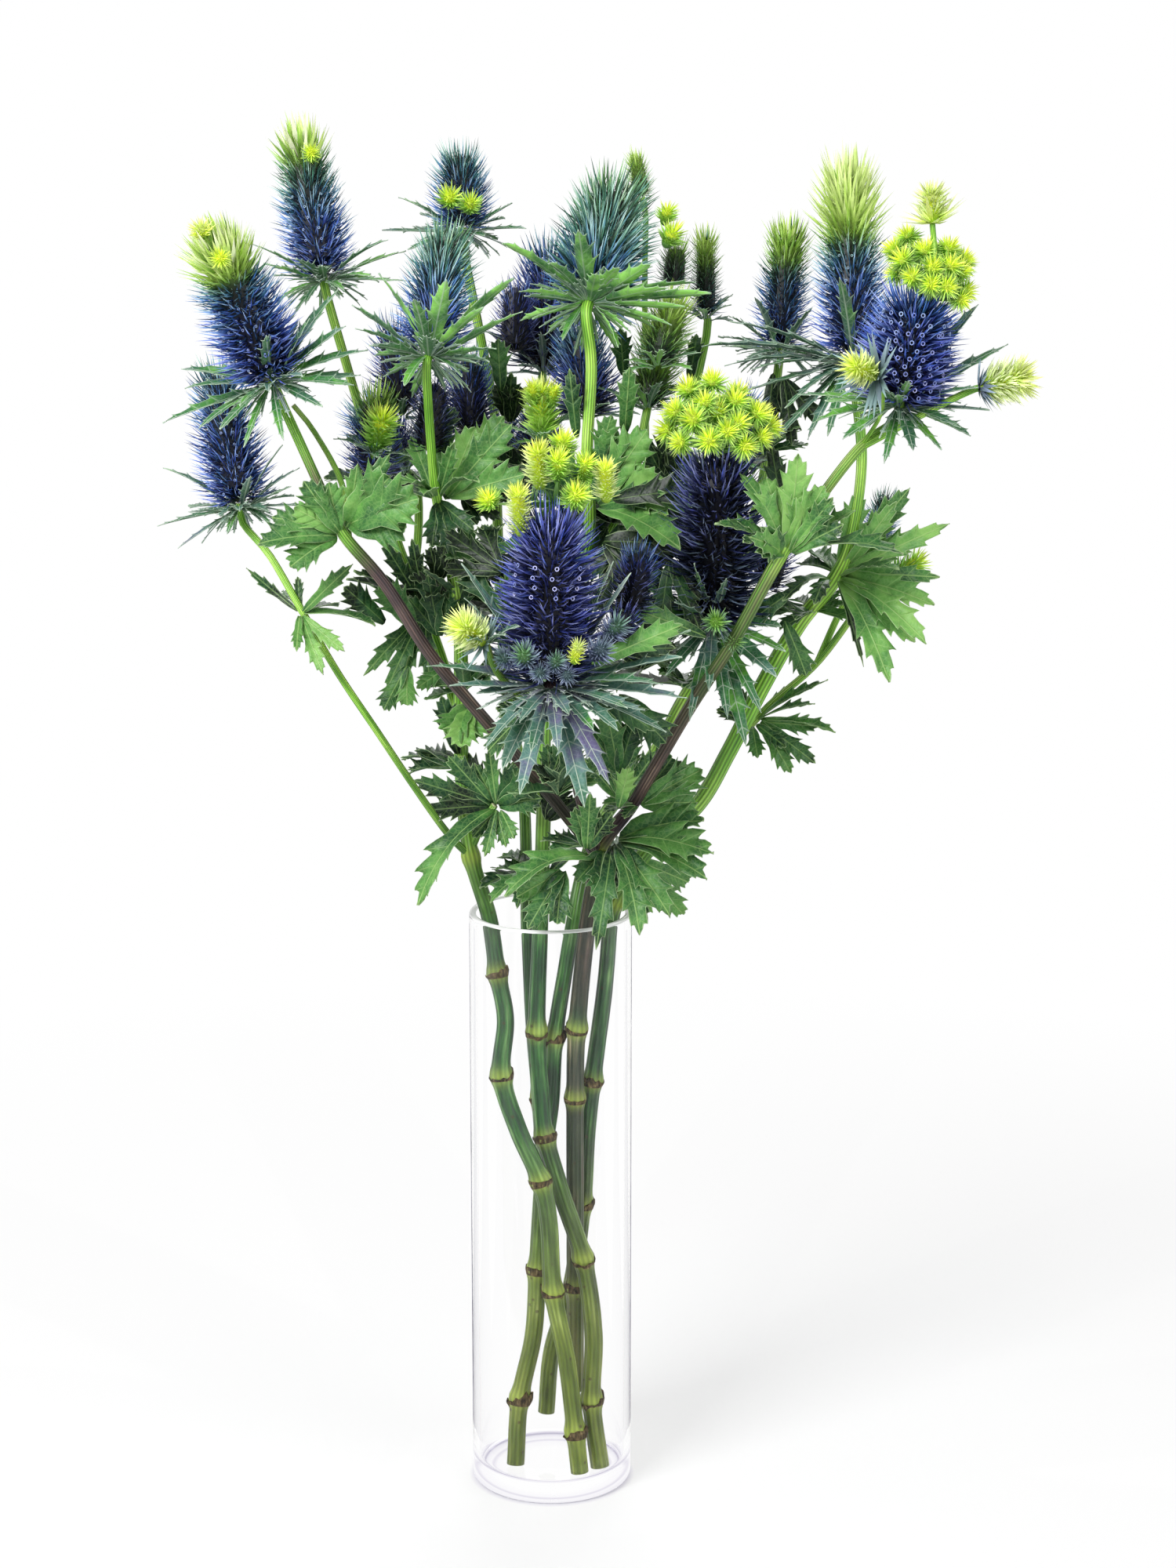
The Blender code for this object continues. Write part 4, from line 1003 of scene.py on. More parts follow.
# Buttons that sit on the tops and at the feet of the older heads: middle, the way it looks, radius and how
# far it is drawn out in mm, and ages outside and at the heart.
build = spiny_mesh()
for spot, outward, size, drawn_out, ages in (
        ((-114, 37, 660), (0.1, -0.8, 0.5), 5.0, 5, (0.66, 0.87)),
        ((-158, -42, 628), (-0.3, -0.5, 0.8), 6.5, 2, (0.9, 0.96)),
        ((-149, -50, 616), (0.0, -0.8, 0.5), 5.0, 0, (0.75, 0.87)),
        ((-49, 68, 637), (0.0, -0.6, 0.7), 7.5, 3, (0.55, 0.84)),
        ((-39, 66, 634), (0.1, -0.6, 0.7), 7.0, 3, (0.5, 0.82)),
        ((58, 22, 622), (0.4, -0.3, 0.8), 7.5, 4, (0.5, 0.84)),
        ((56, 30, 632), (0.2, -0.3, 0.9), 6.0, 4, (0.55, 0.84)),
        ((-8, 14, 549), (-0.2, -0.5, 1), 5.0, 6, (0.6, 0.86)),
        ((2, 14, 548), (0.2, -0.5, 1), 5.0, 7, (0.55, 0.86)),
        ((-10, -116, 444), (-0.3, -0.6, 0.6), 7.5, 4, (0.04, 0.3)),
        ((-3, -118, 437), (-0.1, -0.9, 0.2), 5.5, 4, (0.0, 0.12)),
        ((4, -119, 442), (0.2, -0.6, 0.7), 5.5, 5, (0.02, 0.24)),
        ((9, -119, 436), (0.2, -1, 0.0), 5.0, 4, (0.0, 0.1)),
        ((14, -121, 449), (0.2, -0.6, 0.8), 4.5, 9, (0.9, 0.97)),
        ((24, -112, 446), (0.5, -0.6, 0.6), 7.0, 5, (0.0, 0.08)),
        ((31, -104, 455), (0.7, -0.5, 0.8), 7.0, 6, (0.0, 0.2)),
        ((-19, -110, 442), (-0.8, -0.6, 0.3), 6.0, 4, (0.0, 0.16)),
        ((78, -50, 448), (0.1, -1, 0.5), 6.5, 3, (0.3, 0.5)),
        ((87, -40, 437), (0.4, -1, 0.3), 5.5, 3, (0.25, 0.45))):
    draw_button(build, Vector(spot) * MM, Vector(outward).normalized(), size * MM, 110, drawn_out * MM, ages)
add_piece("young_buttons", build, [young_spine], "young_florets")

# ---------------------------------------------------------------------------------------------
# The collars: a ruff of stiff bracts under each head, narrow, with spines along both edges.
# They are green to blue-green going purple, drawn with silver along their veins and edges.
# ---------------------------------------------------------------------------------------------
# How a margin runs through one tooth, as places along it and how far out: a bract's thin barb, and a
# leaf's broad saw tooth.
barb = ((0.0, 0.0), (0.45, 0.08), (0.7, 0.3), (0.79, 1.0), (0.82, 0.3), (0.9, 0.02))
saw = ((0.0, 0.0), (0.35, 0.3), (0.64, 0.78), (0.76, 1.0), (0.8, 0.5), (0.9, 0.06))


def draw_blade(build, foot, tip, width, face, form=barb, teeth=4, start=0.1, depth=0.5, widest=0.45,
               arch=0.08, fold=0.25, ruffle=0.08, tone=0.5, columns=4, stalk=0.3, taper=0.8):
    """One toothed blade from foot to tip, in mm: a grid with a column across and a row to each step of a
    tooth, bent along its midrib, with every point of the margin swept forward as the teeth are."""
    blade = build.verts.layers.float_vector["blade"]
    toned = build.verts.layers.float["tone"]
    teeth_end = 0.9
    sweep = math.radians(42)

    def full_at(place):
        """The blade's half width at a place along it, as a share of its widest."""
        rise = math.sin(math.pi / 2 * min(1, place / widest)) ** 1.2
        fall = math.cos(math.pi / 2 * max(0, (place - widest) / (1 - widest))) ** taper
        return (stalk + (1 - stalk) * rise) * fall

    rows = [(0.0, stalk * 0.6, 0.0)]
    rows += [(start * part, full_at(start * part) * (1 - depth * part), 0.0) for part in (0.33, 0.66)]
    for tooth in range(teeth):
        for phase, cut in form:
            place = start + (teeth_end - start) * (tooth + phase) / teeth
            rows.append((place, full_at(place) * (1 - depth * (1 - cut)), tooth + phase))
    last = rows[-1][1]
    rows += [(0.93, last * 0.7, teeth), (0.97, last * 0.3, teeth + 0.2), (1.0, 0.0, teeth + 0.3)]
    foot, tip = Vector(foot), Vector(tip)
    reach = (tip - foot).length
    ahead = (tip - foot).normalized()
    up = Vector(face)
    up = (up - ahead * up.dot(ahead)).normalized()
    middle = (foot + tip) / 2 + up * arch * reach * 2
    wave = dice.uniform(0, 6)
    made = bmesh.ops.create_grid(build, x_segments=columns, y_segments=len(rows) - 1, size=1)["verts"]
    for index, vert in enumerate(made):
        row, column = divmod(index, columns + 1)
        place, share, phase = rows[row]
        rib = foot * (1 - place) ** 2 + middle * 2 * place * (1 - place) + tip * place ** 2
        along = ((middle - foot) * (1 - place) + (tip - middle) * place).normalized()
        side = along.cross(up).normalized()
        lift = side.cross(along)
        out = column / columns * 2 - 1
        half = share * width / 2
        swing = math.sin(place * 7 + wave + (1.7 if out > 0 else 0))
        swing += 0.6 * math.sin(phase * 2 * math.pi + wave)
        swing *= ruffle * out * out * width
        vert.co = (rib + side * out * half * math.cos(sweep) + along * abs(out) * half * math.sin(sweep)
                   + lift * (fold * abs(out) * half + swing)) * MM
        vert[blade] = (out * half, phase, half)
        vert[toned] = tone
    bmesh.ops.remove_doubles(build, verts=made, dist=weld)


leaf_thickness = 0.3 * MM


def leaf_mesh():
    """A bmesh ready to take blades: what each point knows is its place across the blade and its tone."""
    build = bmesh.new()
    build.verts.layers.float_vector.new("blade")
    build.verts.layers.float.new("tone")
    return build


def leaf_finish(name, ramp, vein, edge, plain, vein_width, bump_height, net_share=0.2, span=(0.5, 1.0),
                shown=(1.0, 0.3)):
    """A leaf's skin: its ramp of tones, pale veins that run out to the teeth, a pale edge, fine netting.
    How clearly the veins show goes from one share to the other over a span of tones."""
    made, tree, shader = finish_of(name, plain)
    blade = node(tree, "Attribute", attribute_name="blade")
    toned = node(tree, "Attribute", attribute_name="tone")
    place = node(tree, "TexCoord")
    across, phase, half = node(tree, "SeparateXYZ", {0: blade.outputs["Vector"]}).outputs[:3]
    patches = node(tree, "TexNoise", {"Vector": place.outputs["Object"], "Scale": scale_of(11.11),
                                      "Detail": 4.0, "Roughness": 0.65})
    broad = node(tree, "TexNoise", {"Vector": place.outputs["Object"], "Scale": scale_of(29.4),
                                    "Detail": 1.0})
    tone = node(tree, "Math", {0: patches.outputs["Fac"], 1: 0.9, 2: toned.outputs["Fac"]},
                operation="MULTIPLY_ADD")
    tone = node(tree, "Math", {0: broad.outputs["Fac"], 1: 1.2, 2: tone.outputs[0]},
                operation="MULTIPLY_ADD")
    tone = node(tree, "Math", {0: tone.outputs[0], 1: 1.05}, operation="SUBTRACT")
    ground = node(tree, "ValToRGB", {0: tone.outputs[0]}, stops=ramp)
    off_rib = node(tree, "Math", {0: across}, operation="ABSOLUTE")
    rib = node(tree, "MapRange", {"Value": off_rib.outputs[0], "From Min": vein_width * 0.4,
                                  "From Max": vein_width, "To Min": 0.75, "To Max": 0.0})
    off_branch = node(tree, "Math", {0: phase, 1: 0.26}, operation="ADD")
    off_branch = node(tree, "Math", {0: off_branch.outputs[0]}, operation="FRACT")
    off_branch = node(tree, "Math", {0: off_branch.outputs[0], 1: 0.04}, operation="SUBTRACT")
    off_branch = node(tree, "Math", {0: off_branch.outputs[0]}, operation="ABSOLUTE")
    branch = node(tree, "MapRange", {"Value": off_branch.outputs[0], "From Min": 0.01, "From Max": 0.06,
                                     "To Min": 0.42, "To Max": 0.0})
    # A real net's cells are under 1 mm across; they are drawn wider, so that they show.
    net = node(tree, "TexVoronoi", {"Vector": place.outputs["Object"], "Scale": scale_of(2.326)},
               feature="DISTANCE_TO_EDGE")
    netting = node(tree, "MapRange", {"Value": net.outputs["Distance"], "From Min": 0.02,
                                      "From Max": 0.14, "To Min": net_share, "To Max": 0.0})
    veins = node(tree, "Math", {0: rib.outputs[0], 1: branch.outputs[0]}, operation="MAXIMUM")
    veins = node(tree, "Math", {0: veins.outputs[0], 1: netting.outputs[0]}, operation="MAXIMUM")
    clear = node(tree, "MapRange", {"Value": toned.outputs["Fac"], "From Min": span[0], "From Max": span[1],
                                    "To Min": shown[0], "To Max": shown[1]})
    veins = node(tree, "Math", {0: veins.outputs[0], 1: clear.outputs[0]}, operation="MULTIPLY")
    inside = node(tree, "Math", {0: half, 1: off_rib.outputs[0]}, operation="SUBTRACT")
    margin = node(tree, "MapRange", {"Value": inside.outputs[0], "From Min": 0.05, "From Max": 0.35,
                                     "To Min": 0.6, "To Max": 0.0})
    veined = node(tree, "Mix", {0: veins.outputs[0], 6: ground.outputs[0], 7: vein}, data_type="RGBA")
    edged = node(tree, "Mix", {0: margin.outputs[0], 6: veined.outputs[2], 7: edge}, data_type="RGBA")
    tree.links.new(edged.outputs[2], shader.inputs["Base Color"])
    puffed = node(tree, "MapRange", {"Value": off_branch.outputs[0], "From Max": 0.4, "To Max": 1.6},
                  interpolation_type="SMOOTHSTEP")
    netted = node(tree, "Math", {0: net.outputs["Distance"], 1: 0.6, 2: veins.outputs[0]},
                  operation="MULTIPLY_ADD")
    netted = node(tree, "Math", {0: netted.outputs[0], 1: puffed.outputs[0]}, operation="ADD")
    bump = node(tree, "Bump", {"Strength": 0.6, "Distance": bump_height, "Height": netted.outputs[0]})
    tree.links.new(bump.outputs["Normal"], shader.inputs["Normal"])
    return made


# Bract: stiff and leathery with a waxy bloom, green through blue-green to purple. Its veins are raised, and
# silver on the blue ones; its underside is duller.
bract_leather = leaf_finish("waxy_bract",
                            [(0.0, "#70B440"), (0.28, "#38763A"), (0.48, "#3C6A50"), (0.68, "#5A8278"),
                             (0.92, "#6C668C")],
                            "#D2E2CE", "#C8DAC6", {"Roughness": 0.42, "Specular IOR Level": 0.25},
                            vein_width=0.4, bump_height=0.3 * MM, net_share=0.1,
                            span=(0.0, 0.4), shown=(0.5, 1.0))
bract_back = leaf_finish("bract_underside",
                         [(0.0, "#94D464"), (0.28, "#4C8048"), (0.5, "#486E54"), (0.9, "#5A6A7C")],
                         "#AFC4AC", "#A6BCAC", {"Roughness": 0.6, "Specular IOR Level": 0.2},
                         vein_width=0.7, bump_height=0.3 * MM, span=(0.0, 0.4), shown=(0.5, 1.0))


def add_leaves(name, build, finishes, slot, *nodes):
    """Leaves as one piece: its blades get their thickness, and the underside its own paler skin."""
    piece = add_piece(name, build, finishes, slot, *nodes)
    for face in piece.data.polygons:
        face.use_smooth = True
    wall = piece.modifiers.new("thickness", "SOLIDIFY")
    wall.thickness = leaf_thickness
    wall.offset = -1
    wall.material_offset = 1
    wall.material_offset_rim = 0
    return piece


# Each collar: tone, number of plain bracts and their length, then the large ones: tip and width, in mm.
collars = {
    "front_left": (0.35, 14, 34, [((-180, -30, 539), 9), ((-173, -10, 562), 9), ((-161, -45, 538), 8),
                                  ((-151, -50, 538), 9), ((-129, -48, 581), 10), ((-98, -15, 599), 11),
                                  ((-90, -35, 557), 8), ((-118, -5, 584), 7), ((-168, -40, 556), 7),
                                  ((-104, -46, 548), 7), ((-84, -25, 572), 9), ((-140, -52, 530), 6),
                                  ((-122, -50, 533), 6), ((-94, -30, 584), 9), ((-110, -38, 588), 8),
                                  ((-88, -20, 560), 9)]),
    "tall_left": (0.3, 14, 27, [((-69, 35, 614), 8), ((-77, 25, 620), 7), ((-136, 20, 609), 7),
                                ((-124, 15, 582), 4), ((-84, 20, 603), 6), ((-97, 10, 597), 5),
                                ((-66, 30, 600), 6), ((-142, 25, 618), 6), ((-116, 12, 590), 5),
                                ((-131, 16, 590), 5)]),
    "low_left": (0.45, 14, 27, [((-185, -20, 489), 6), ((-184, 0, 514), 6), ((-119, 0, 514), 6),
                                ((-140, -25, 513), 6), ((-122, -15, 507), 5), ((-152, -20, 485), 5),
                                ((-132, -15, 489), 5), ((-112, -8, 497), 5), ((-170, -22, 496), 5),
                                ((-176, -18, 478), 4), ((-126, -10, 526), 4)]),
    "leaning_left": (0.18, 13, 32, [((-47, -35, 605), 13), ((-62, -38, 597), 9), ((-16, -10, 604), 13),
                                    ((-92, -10, 592), 10), ((-67, -30, 556), 8), ((-24, -35, 574), 8),
                                    ((-40, -38, 561), 7), ((-82, -30, 575), 9), ((-30, -30, 592), 9),
                                    ((-90, -22, 582), 8), ((-12, -22, 590), 8), ((-56, -38, 580), 8),
                                    ((-80, -4, 606), 9)]),
    "back_left": (0.4, 14, 28, [((-75, 85, 637), 7), ((-19, 85, 634), 7), ((-83, 80, 621), 6),
                                ((-32, 70, 619), 6), ((-58, 70, 619), 5), ((-12, 80, 622), 6),
                                ((-70, 72, 612), 6)]),
    "top_centre": (0.1, 12, 36, [((-22, 0, 620), 11), ((0, -5, 611), 10), ((14, -12, 627), 13),
                                  ((22, -20, 607), 9), ((33, -18, 610), 9), ((48, -5, 611), 13),
                                  ((77, 15, 595), 12), ((70, 25, 600), 9), ((6, 5, 574), 8),
                                  ((33, 0, 571), 8), ((58, 5, 581), 8), ((39, 10, 577), 7),
                                  ((-14, -6, 598), 8), ((56, -10, 600), 10), ((64, 0, 590), 9),
                                  ((-8, 2, 584), 8)]),
    "back_right": (0.5, 14, 30, [((88, 70, 580), 8), ((100, 60, 590), 8), ((128, 60, 585), 7),
                                 ((84, 62, 566), 7), ((120, 58, 560), 7), ((96, 56, 560), 7)]),
    "tall_right": (0.42, 15, 38, [((138, 15, 603), 9), ((73, 30, 569), 10), ((87, 40, 580), 10),
                                  ((113, 20, 540), 8), ((97, 20, 559), 10), ((124, 20, 525), 8),
                                  ((84, 26, 560), 9), ((104, 24, 572), 9), ((92, 18, 548), 8),
                                  ((108, 14, 526), 8), ((133, 8, 528), 8)]),
    "front_right": (0.4, 15, 38, [((200, -20, 593), 9), ((215, -15, 574), 9), ((195, -40, 567), 9),
                                  ((198, -45, 557), 7), ((189, -60, 540), 9), ((164, -68, 562), 6),
                                  ((139, -50, 561), 9), ((148, -62, 562), 8), ((123, -30, 539), 9),
                                  ((167, -65, 530), 9), ((136, -45, 533), 9), ((196, -40, 534), 9),
                                  ((128, -40, 550), 8), ((180, -62, 530), 7), ((154, -62, 524), 7),
                                  ((116, -28, 552), 8), ((205, -34, 545), 7)]),
    "low_centre": (0.4, 14, 36, [((93, -45, 388), 13), ((107, -40, 420), 13), ((38, -30, 466), 10),
                                 ((59, -45, 457), 10), ((68, -40, 474), 9), ((83, -38, 467), 8),
                                 ((38, -35, 451), 10), ((111, -10, 439), 10), ((55, -40, 421), 9),
                                 ((75, -48, 415), 9), ((84, -48, 402), 10), ((46, -42, 434), 9),
                                 ((112, -28, 430), 9), ((66, -46, 400), 8), ((100, -44, 404), 9)]),
    "front_centre": (0.6, 15, 40, [((-20, -115, 392), 13), ((17, -125, 377), 15), ((5, -128, 404), 10),
                                   ((-7, -128, 403), 10), ((32, -124, 412), 11), ((44, -118, 420), 11),
                                   ((21, -138, 415), 10), ((-22, -116, 412), 10), ((-32, -105, 425), 10),
                                   ((-55, -95, 436), 9), ((-39, -90, 482), 8), ((-37, -105, 469), 7),
                                   ((63, -110, 424), 11), ((61, -100, 441), 11), ((65, -95, 452), 13),
                                   ((38, -85, 477), 6), ((30, -90, 483), 6), ((-12, -134, 418), 9),
                                   ((10, -142, 423), 9), ((-44, -112, 430), 8), ((52, -118, 432), 10),
                                   ((36, -132, 424), 9), ((-28, -126, 404), 9), ((-40, -100, 452), 6),
                                   ((-12, -130, 384), 12), ((28, -128, 388), 12), ((54, -108, 408), 10)]),
}
# A collar grows just below its head, from a small ring on the stem. Of its plain bracts every third is
# long, unless a large one stands there already, and the others are short; the front collar has no long ones.
below_head, ring_radius = 3, 3
for name, (tone, count, size, marked) in collars.items():
    build = leaf_mesh()
    base, axis, length, radius = head_line("head_" + name)
    base = base / MM - axis * below_head
    side = axis.orthogonal().normalized()
    across = axis.cross(side)
    for tip, width in marked:
        out = Vector(tip) - base
        out = (out - axis * out.dot(axis)).normalized()
        draw_blade(build, base + out * ring_radius, tip, width * 1.55, axis + Vector((0, -0.3, 0)),
                   depth=0.46, arch=dice.uniform(0.0, 0.06), tone=tone + dice.uniform(-0.15, 0.15),
                   ruffle=0.03, fold=dice.uniform(0.15, 0.4), widest=0.4)
    for index in range(count * 3):
        turn = 2 * math.pi * (index + dice.uniform(-0.3, 0.3)) / (count * 3)
        out = side * math.cos(turn) + across * math.sin(turn)
        if name != "front_centre" and index % 3 == 0:
            if any((Vector(tip) - base).normalized().dot(out) > 0.93 for tip, width in marked):
                continue
            tip = base + out * size * dice.uniform(0.8, 1.1) + axis * dice.uniform(-5, 10)
            draw_blade(build, base + out * ring_radius, tip, 13, axis, depth=0.58, arch=0.06,
                       tone=tone + dice.uniform(-0.1, 0.25), ruffle=0.04, widest=0.35)
        else:
            tip = base + out * size * dice.uniform(0.45, 0.85) + axis * dice.uniform(-13, 5)
            draw_blade(build, base + out * ring_radius, tip, dice.uniform(4.0, 7.5), axis, teeth=2,
                       depth=0.65, arch=0.05, tone=tone + dice.uniform(0, 0.4), columns=2, ruffle=0.03)
    add_leaves("ruff_" + name, build, [bract_leather, bract_back], "bract", "bracts_" + name)

# Loose bracts under the heads that stand deep in the bunch: node, number of bracts, length in mm and tone.
build = leaf_mesh()
for base, count, size, tone in (((18, 66, 530), 10, 26, 0.45), ((48, 66, 534), 10, 26, 0.2),
                                ((-4, 106, 548), 12, 34, 0.7), ((-72, 30, 534), 10, 26, 0.5),
                                ((78, 116, 574), 8, 18, 0.3), ((52, 36, 558), 9, 24, 0.1),
                                ((88, 38, 510), 9, 26, 0.55), ((-4, 18, 524), 9, 20, 0.15),
                                ((-72, 72, 500), 10, 28, 0.6), ((-84, 8, 520), 8, 18, 0.3),
                                ((160, 56, 468), 8, 20, 0.5), ((-28, -106, 448), 7, 18, 0.5)):
    base = Vector(base)
    for index in range(count):
        turn = 2 * math.pi * (index + dice.uniform(-0.3, 0.3)) / count
        out = Vector((math.cos(turn), math.sin(turn), dice.uniform(-0.2, 0.7)))
        draw_blade(build, base + out * 2, base + out * size * dice.uniform(0.7, 1.1), dice.uniform(7, 11),
                   (0, -0.3, 1), depth=0.58, tone=tone + dice.uniform(-0.15, 0.2), teeth=3, columns=2,
                   ruffle=0.04, widest=0.35)
add_leaves("ruff_inner", build, [bract_leather, bract_back], "bract")

# ---------------------------------------------------------------------------------------------
# The leaves: at each node a whorl of soft-leathery leaves cut into wedge-shaped, toothed lobes.
# They clasp the stem without a stalk; fresh green in front, and darker and bluer inside the bunch, where
# that darkness is painted shade.
# ---------------------------------------------------------------------------------------------
# Leaf: soft leather with a satin skin; the paler ribs part towards the teeth over a fine net of veins.
# Its darkest tones, where the veins fade out, are painted shade for leaves deep in the bunch.
leaf_top = leaf_finish("fresh_leaf",
                       [(0.0, "#88BA60"), (0.25, "#5E9648"), (0.52, "#3C6C38"), (0.78, "#20462A"),
                        (1.0, "#0E2014")],
                       "#9CC274", "#B4CE98", {"Roughness": 0.38, "Specular IOR Level": 0.28},
                       vein_width=0.6, bump_height=0.5 * MM)
leaf_back = leaf_finish("leaf_underside", [(0.0, "#84B05E"), (0.4, "#5A884E"), (0.9, "#36523C")],
                        "#B0C890", "#A8C28E", {"Roughness": 0.6, "Specular IOR Level": 0.25},
                        vein_width=0.8, bump_height=0.5 * MM)
